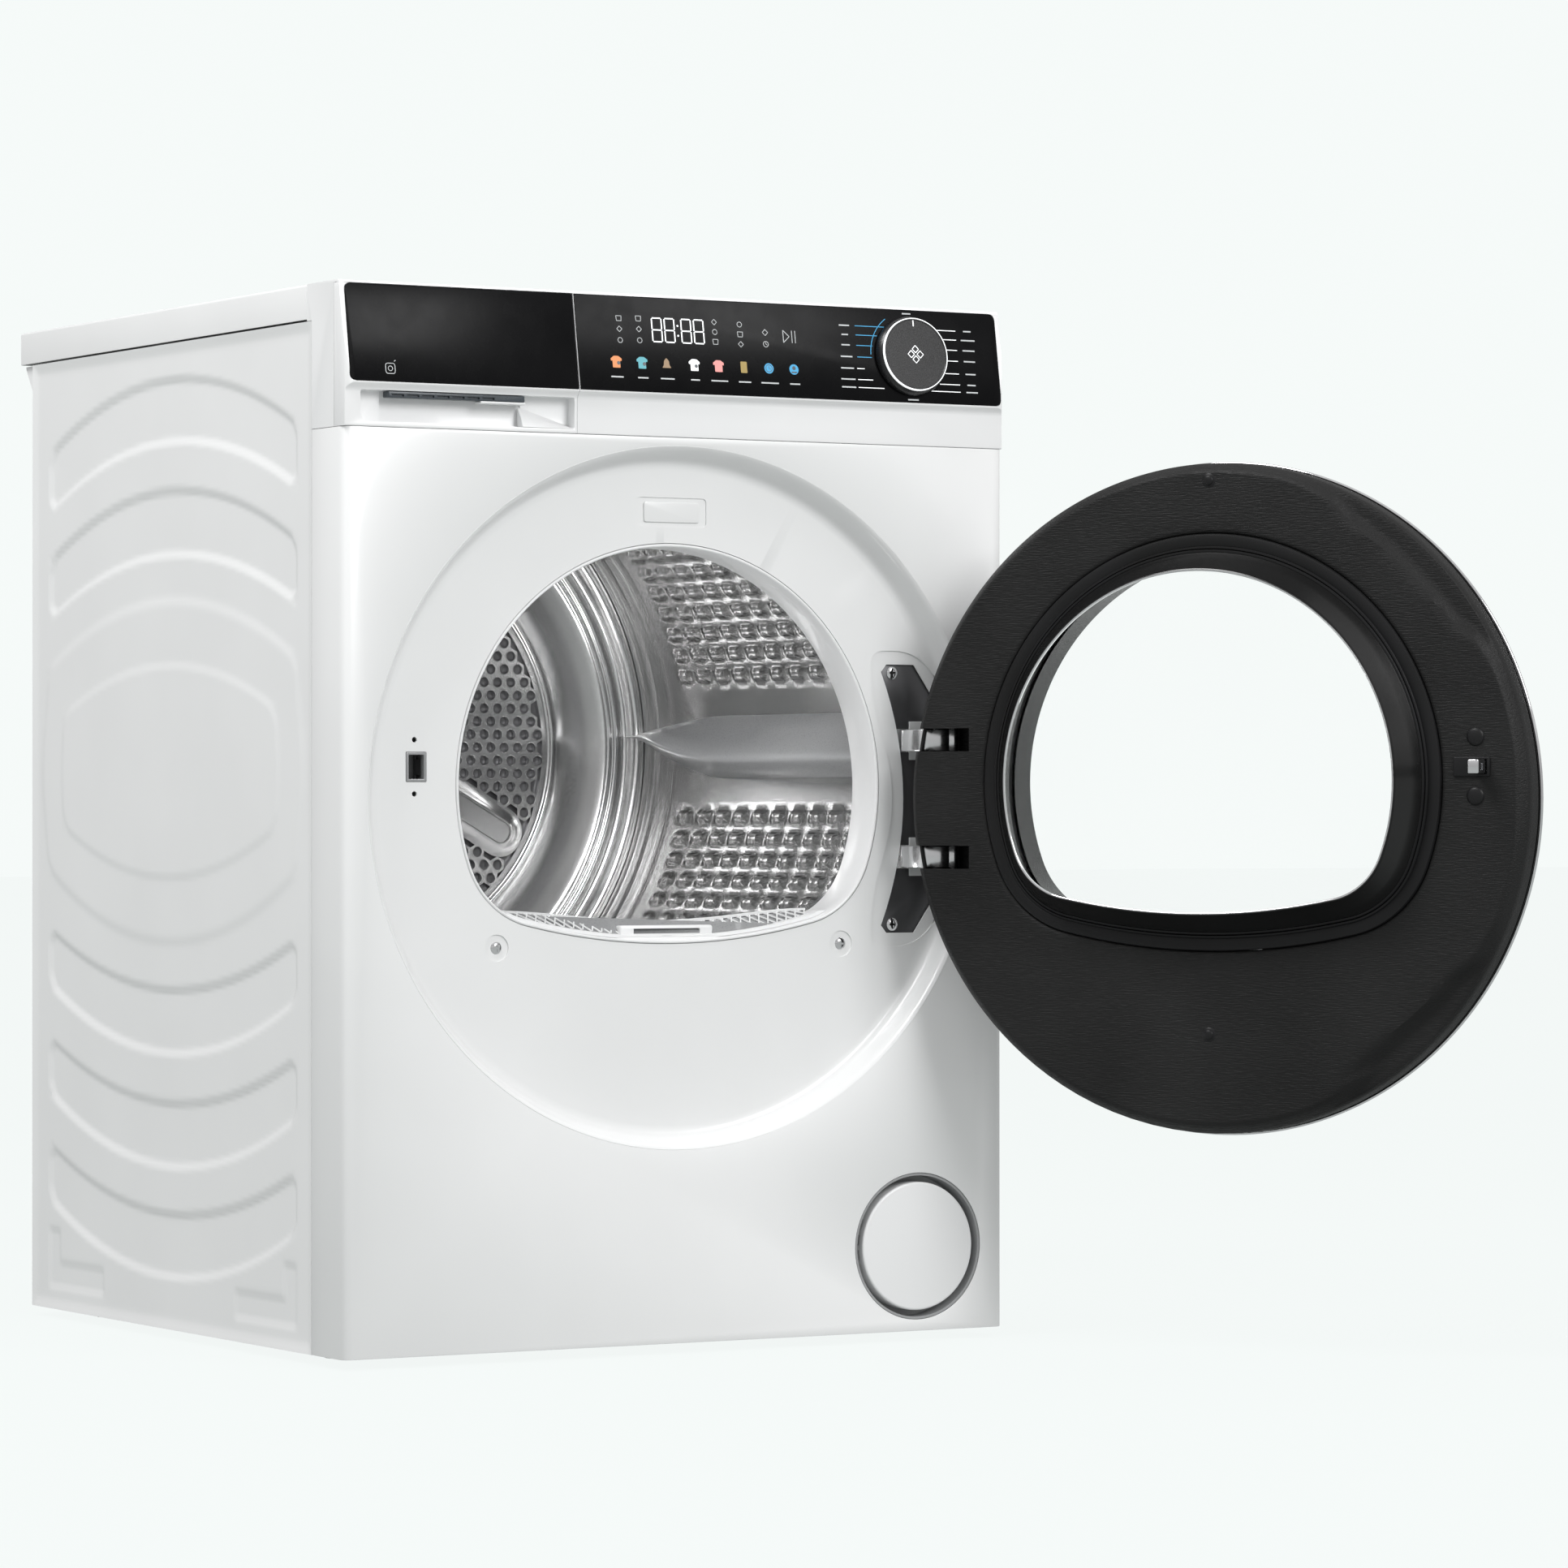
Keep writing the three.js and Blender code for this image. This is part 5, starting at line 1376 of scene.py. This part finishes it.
# ------------------------------------------------------------------ hinge
def hinge_parts():
    plate = slab("hinge_cover", hinge_outline(-3), 22.2, 24.2)
    for side in (-1, 1):
        z = DOOR_Z + side * ARM_OFFSET
        cut(plate, brick("tool", (206, 15, z - 9.3), (246, 35, z + 9.3)))
    round_edges(plate, 0.3, 2, 50)
    place(plate, "cabinet", "dark_metal")
    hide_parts("hinge_plate")

    bends = [(240, 28), (224, 26.5), (214.5, 19), (212, 6), (215.5, -8), (225, -16.5), (238.2, -18.5)]
    path = smooth_line(bends, 8)
    sides = [[], []]
    for i, here in enumerate(path):
        along = (path[min(i + 1, len(path) - 1)] - path[max(i - 1, 0)]).normalized() * 2
        sides[0].append((here.x - along.y, here.y + along.x))
        sides[1].insert(0, (here.x + along.y, here.y - along.x))
    for side, name in ((1, "upper"), (-1, "lower")):
        z = DOOR_Z + side * ARM_OFFSET
        arm = pushed("arm", [(x, y, z - 8.7) for x, y in sides[0] + sides[1]], (0, 0, 17.4))
        round_edges(arm, 0.7, 3, 50)
        parts = [arm]
        for radius, half in ((5.2, 8.7), (3, 14)):
            circle = [(x, y, z - half) for x, y in ring_points(HINGE_X, HINGE_Y, radius, 40)]
            post = pushed("post", circle, (0, 0, 2 * half))
            round_edges(post, 0.4, 2, 50)
            parts.append(post)
        foot = brick("foot", (224, 25, z - 17), (242, 30, z + 17), 0.6)
        piece = merged(f"hinge_strap_{name}", [*parts, foot])
        place(piece, "cabinet", "bright_steel")
        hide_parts(f"hinge_arm_{name}")
        block = brick(f"hinge_block_{name}", (221, 20.4, z - 15.5), (234.5, 22.1, z + 15.5), 0.5)
        place(block, "cabinet", "pale_plastic")
    for i, z in enumerate((DOOR_Z + 101.3, DOOR_Z - 101.3)):
        screw(f"hinge_screw_{i + 1}", 205.2, z, 19.8, 5.2)


# ------------------------------------------------------------------ door, drawn shut
SCALLOPS = [
    (0, 257), (60, 257), (106, 257.5), (112, 255), (120, 245), (126, 243), (136, 241.5), (146, 244),
    (152, 254), (158, 257.5), (168, 257.5), (180, 256), (190, 257.5), (201, 258), (207, 255), (216, 244),
    (228, 239), (236, 240), (241, 252), (246, 257), (300, 257), (360, 257),
]


def plateau_edge(degrees):
    """How far the inner face's flat part reaches from the door's middle in one direction."""
    degrees %= 360
    for (a0, r0), (a1, r1) in zip(SCALLOPS, SCALLOPS[1:]):
        if a0 <= degrees <= a1:
            return r0 + (r1 - r0) * fade(degrees, a0, a1)
    return SCALLOPS[-1][1]


def door_liner():
    """The grained inner face: a plateau with scooped finger grips, rolling over to the rim."""
    count = 240
    inner = window(0, count)
    start_angles = [math.atan2(z - DOOR_Z, x) for x, z in inner]
    rings = []
    wall = [(0, -26), (0, 10), (0, 14.4), (0.5, 15.9), (1.8, 16.8), (4, DOOR_FACE)]
    for inset, y in wall:
        rings.append([(x, y, z) for x, z in window(-inset, count)])
    shares = [0.2, 0.4, 0.55, 0.66, 0.74, 0.8, 0.84, 0.875, 0.9, 0.92, 0.94, 0.955, 0.97, 0.985, 1.0]
    outer_r = 257.5
    base = window(-4, count)
    for share in shares:
        ring = []
        for (x, z), a in zip(base, start_angles):
            end = (outer_r * math.cos(a), DOOR_Z + outer_r * math.sin(a))
            px = x + (end[0] - x) * share
            pz = z + (end[1] - z) * share
            r = math.hypot(px, pz - DOOR_Z)
            degrees = math.degrees(math.atan2(pz - DOOR_Z, px))
            low = fade(r, plateau_edge(degrees) - 4, plateau_edge(degrees) + 5)
            ring.append((px, DOOR_FACE - 7.2 * low * fade(r, 225, 240), pz))
        rings.append(ring)
    for r, y in ((260, 9.4), (261.4, 7), (DOOR_R, 3), (DOOR_R, -9.9)):
        rings.append([(r * math.cos(a), y, DOOR_Z + r * math.sin(a)) for a in start_angles])
    piece = skinned("door_liner", rings)
    foremost = max(piece.data.polygons, key=lambda face: face.center.y)
    if foremost.normal.y < 0:
        piece.data.flip_normals()
    thicken(piece, 2.0)
    arm_heights = (DOOR_Z - ARM_OFFSET, DOOR_Z + ARM_OFFSET)
    slots = [rect(207.2, 275, z - 9.2, z + 9.2, 0.6) for z in arm_heights]
    cut(piece, *[slab("tool", slot, 0, DOOR_FACE + 5) for slot in slots])
    parts = [piece]
    for z in arm_heights:
        box = brick("box", (204.5, -26.5, z - 11.4), (246, DOOR_FACE - 1.0, z + 11.4))
        cut(box, brick("tool", (207.2, -24.5, z - 9.2), (275, DOOR_FACE + 5, z + 9.2)))
        parts.append(box)
    piece = merged("door_liner", parts)
    place(piece, "door", "black_grain", OPENED, smooth=40)
    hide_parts("door_inner_frame")


def door_window():
    """The satin band, its ribs and the two glasses."""
    band = [(0.1, -12), (0.1, 17.0), (0.8, 18.2), (2.0, 18.5), (9.6, 18.5), (10.4, 18.0), (10.8, 16.6)]
    band += [(11.3, 15.2), (11.3, -12)]
    piece = hollow_ring("window_band", [at_y(window(i), y) for i, y in band])
    place(piece, "door", "black_satin", OPENED, smooth=40)
    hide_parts("door_bezel")

    ribs = []
    for inset, y in ((9.9, 19.2), (12.6, 20.4)):
        shape = [(0, -3), (0, 0), (0.6, 0.8), (1.8, 0.8), (2.4, 0), (2.4, -3)]
        ribs.append(hollow_ring("rib", [at_y(window(inset + i), y + d) for i, d in shape]))
    walls = [(11.4, -11), (11.4, -40), (13.4, -40), (13.4, -11)]
    tunnel = hollow_ring("window_tunnel", [at_y(window(i), y) for i, y in walls])
    place(tunnel, "door", "black_gloss", OPENED, smooth=40)
    place(merged("window_gasket", ribs), "door", "black_satin", OPENED, smooth=50)

    side = [(12.1, 3), (12.1, 15.6), (13.6, 19.4), (20, 29.8), (27.4, 41.6), (28.2, 43.4), (29.4, 43.9)]
    side += [(30.2, 43.4), (29.6, 40.4), (16, 18.6), (14.8, 14.8), (14.8, 3)]
    piece = hollow_ring("bowl_side", [at_y(window(i), y) for i, y in side])
    place(piece, "door", "bowl_side", OPENED, smooth=35)
    # A thin chrome ring at the bowl's rim stands in for the bright line along the glass's edge: a painted
    # highlight.
    glint_ring = [(28.7, 43.3), (29.0, 43.9), (29.7, 43.9), (30.2, 43.4)]
    piece = hollow_ring("bowl_glint_ring", [at_y(window(i), y) for i, y in glint_ring])
    place(piece, "door", "chrome", OPENED, smooth=60)
    piece = slab("window_bowl", window(30.0), 40.9, 43.6)
    place(piece, "door", "clear_glass", OPENED, smooth=35)
    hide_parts("door_glass_bowl")

    profile = [(0, -51.8), (60, -51.4), (110, -50.4), (160, -47.8), (195.4, -44.5), (195.4, -41.6)]
    profile += [(160, -44.9), (110, -47.5), (60, -48.6), (0, -49)]
    piece = spun("outer_glass", profile, (0, DOOR_Z), 144)
    place(piece, "door", "clear_glass", OPENED, smooth=35)
    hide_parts("door_outer_window")


def door_shell():
    outer = [(196, -43.8), (212, -43.6), (228, -42.4), (243, -39), (254, -32.6), (260, -25.6)]
    outer += [(262.2, -18), (262.2, -12)]
    inner = [(259.8, -12), (259.8, -18), (256, -26), (249, -32), (238, -37), (224, -40)]
    inner += [(210, -41.2), (196, -41.5)]
    curve = [(p.x, p.y) for p in smooth_line(outer, 4)]
    piece = spun("door_cover", [*curve, *inner], (0, DOOR_Z), 160)
    place(piece, "door", "black_gloss", OPENED, smooth=40)
    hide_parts("door_outer_shell")
    trim = eased([(262.4, -16.6), (263.5, -16.2), (263.9, -14.9), (263.5, -13.6), (262.4, -13.2)], 0.4, 4)
    piece = spun("door_rim_trim", trim, (0, DOOR_Z), 200)
    place(piece, "door", "chrome", OPENED, smooth=50)
    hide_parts("door_trim_ring")


def door_small_parts():
    """Buffers, guide pins and the hook on the inner face."""
    for name, z, node in (("upper", 474.5, "door_bumper_upper"), ("lower", 429.3, "door_bumper_lower")):
        profile = [(0, 19.2), (4.6, 19.0), (6.4, 18.2), (7.2, 17.0), (7.2, 16.0), (0, 16.0)]
        piece = spun(f"door_buffer_{name}", profile, (-221, z), 48)
        place(piece, "door", "black_satin", OPENED, smooth=50)
        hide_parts(node)
    for name, z in (("upper", 675.3), ("lower", 243.3)):
        profile = [(0, 18.9), (2.2, 18.8), (3.4, 18.4), (3.9, 17.9), (4.0, 17.6), (5.6, 17.2)]
        profile += [(6.4, 16.4), (0, 16.4)]
        piece = spun(f"door_guide_{name}", profile, (0, z), 40)
        place(piece, "door", "black_satin", OPENED, smooth=50)
    x, z = LATCH_X, LATCH_Z
    hook = brick("door_hook", (x - 5, 17.3, z - 5.5), (x + 4, 36, z + 5.5), 1.2)
    cut(hook, brick("tool", (x - 9, 26, z - 3), (x + 9, 31, z + 3), 0.8))
    place(hook, "door", "chrome", OPENED)
    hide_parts("latch_hook")
    seat = brick("hook_seat", (x - 7.5, 16.4, z - 7.5), (x + 22, 18.7, z + 7.5), 0.8)
    cut(seat, brick("tool", (x - 5.4, 10, z - 5.9), (x + 4.4, 30, z + 5.9)))
    place(seat, "door", "black_satin", OPENED)


# ------------------------------------------------------------------ making everything
for panel_side in (-1, 1):
    side_pressing(panel_side)
front_sheet()
door_recess()
recess_badge()
for screw_index, screw_x in enumerate((-155.6, 155.6)):
    screw(f"mouth_screw_{screw_index + 1}", screw_x, 311.3, 19.0, 4.9)
bulkhead()
worktop()
rail()
control_panel()
tank_drawer()
display()
small_icons()
coloured_icons()
caption_bars()
knob_scale()
link_sign()
knob()
drum_shell()
perforated_plate()
drum_end()
for lifter_index, lifter_angle in enumerate((0, 120, 240)):
    lifter(lifter_index + 1, lifter_angle)
lint_filter()
filter_lattice()
service_cover()
latch()
hinge_parts()
door_liner()
door_window()
door_shell()
door_small_parts()


# ------------------------------------------------------------------ floor, light and camera
BACKDROP = (0.92, 0.957, 0.945)


def seen_directly(nodes, links):
    """1 for what is looked at straight or through the window, 0 for light falling on things."""
    path = nodes.new("ShaderNodeLightPath")
    either = nodes.new("ShaderNodeMath")
    either.operation = "MAXIMUM"
    links.new(path.outputs["Is Camera Ray"], either.inputs[0])
    links.new(path.outputs["Is Transmission Ray"], either.inputs[1])
    return either.outputs[0]


def studio():
    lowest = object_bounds()[0].z
    bpy.ops.mesh.primitive_plane_add(size=60, location=(0, 0, lowest))
    floor = bpy.context.object
    floor.name = "studio_floor"
    finish, tree, shader = new_finish("studio_floor", (0.03, 0.03, 0.03), 0.9)
    tinted(tree, shader, grain_texture(tree, 2), (0.028, 0.03, 0.03), (0.03, 0.032, 0.032))
    shader.inputs["Specular IOR Level"].default_value = 0.0
    shader.inputs["Emission Color"].default_value = (*BACKDROP, 1)
    glow = tree.nodes.new("ShaderNodeMapRange")
    glow.inputs["To Min"].default_value = 0.50
    glow.inputs["To Max"].default_value = 0.955
    tree.links.new(seen_directly(tree.nodes, tree.links), glow.inputs["Value"])
    tree.links.new(glow.outputs["Result"], shader.inputs["Emission Strength"])
    floor.data.materials.append(finish)
    floor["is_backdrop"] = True

    world = bpy.data.worlds.new("studio")
    bpy.context.scene.world = world
    world.use_nodes = True
    nodes, links = world.node_tree.nodes, world.node_tree.links
    background = nodes["Background"]
    place_in = nodes.new("ShaderNodeTexCoord")
    split = nodes.new("ShaderNodeSeparateXYZ")
    ramp = nodes.new("ShaderNodeValToRGB")
    band = nodes.new("ShaderNodeMapRange")
    band.inputs["From Min"].default_value = -0.1
    band.inputs["From Max"].default_value = 1.0
    tones = [(0.0, 0.44), (0.2, 0.50), (0.34, 0.70), (0.5, 0.42), (0.7, 0.64), (1.0, 0.75)]
    elements = ramp.color_ramp.elements
    elements[0].position, elements[0].color = tones[0][0], (*[tones[0][1]] * 3, 1)
    elements[1].position, elements[1].color = tones[-1][0], (*[tones[-1][1]] * 3, 1)
    for position, tone in tones[1:-1]:
        element = elements.new(position)
        element.color = (tone, tone, tone, 1)
    links.new(place_in.outputs["Generated"], split.inputs["Vector"])
    links.new(split.outputs["Z"], band.inputs["Value"])
    links.new(band.outputs["Result"], ramp.inputs["Fac"])
    mix = nodes.new("ShaderNodeMix")
    mix.data_type = "RGBA"
    mix.inputs[7].default_value = (*BACKDROP, 1)
    links.new(seen_directly(nodes, links), mix.inputs[0])
    links.new(ramp.outputs["Color"], mix.inputs[6])
    links.new(mix.outputs[2], background.inputs["Color"])


def softbox(name, location, target, size, power):
    lamp = bpy.data.lights.new(name, "AREA")
    lamp.shape = "RECTANGLE"
    lamp.size, lamp.size_y = size
    lamp.energy = power
    light = bpy.data.objects.new(name, lamp)
    light.location = location
    light.rotation_euler = (Vector(target) - Vector(location)).to_track_quat("-Z", "Y").to_euler()
    light.visible_camera = False
    bpy.context.collection.objects.link(light)


studio()
softbox("front_softbox", (0.9, -3.2, 2.2), (0.1, 0, 0.45), (1.4, 1.4), 60)
softbox("top_softbox", (-1.7, -0.5, 3.0), (-0.2, 0, 0.4), (1.2, 1.2), 60)
drum_front_y, drum_back_y = (corner.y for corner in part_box("drum_wrapper"))
drum_middle = (0, drum_front_y + 0.05, DRUM_Z * MM + 0.12)
drum_back = (0.05, drum_back_y, DRUM_Z * MM - 0.05)
softbox("drum_lamp", drum_middle, drum_back, (0.24, 0.05), 0.85)
drum_sill = (-0.02, drum_front_y + 0.06, DRUM_Z * MM - 0.17)
drum_roof = (0.16, drum_front_y + 0.30, DRUM_Z * MM + 0.2)
softbox("drum_low_lamp", drum_sill, drum_roof, (0.20, 0.04), 0.42)

camera_data = bpy.data.cameras.new("camera")
camera_data.sensor_width = 36
camera_data.lens = 136.92
camera = bpy.data.objects.new("camera", camera_data)
camera.location = (-2.30994, FRONT_LOW.y - 4.07479, 0.42010)
camera.rotation_euler = (math.radians(90.229), 0, math.radians(-30.511))
bpy.context.collection.objects.link(camera)
bpy.context.scene.camera = camera
bpy.context.scene.view_settings.view_transform = "Standard"
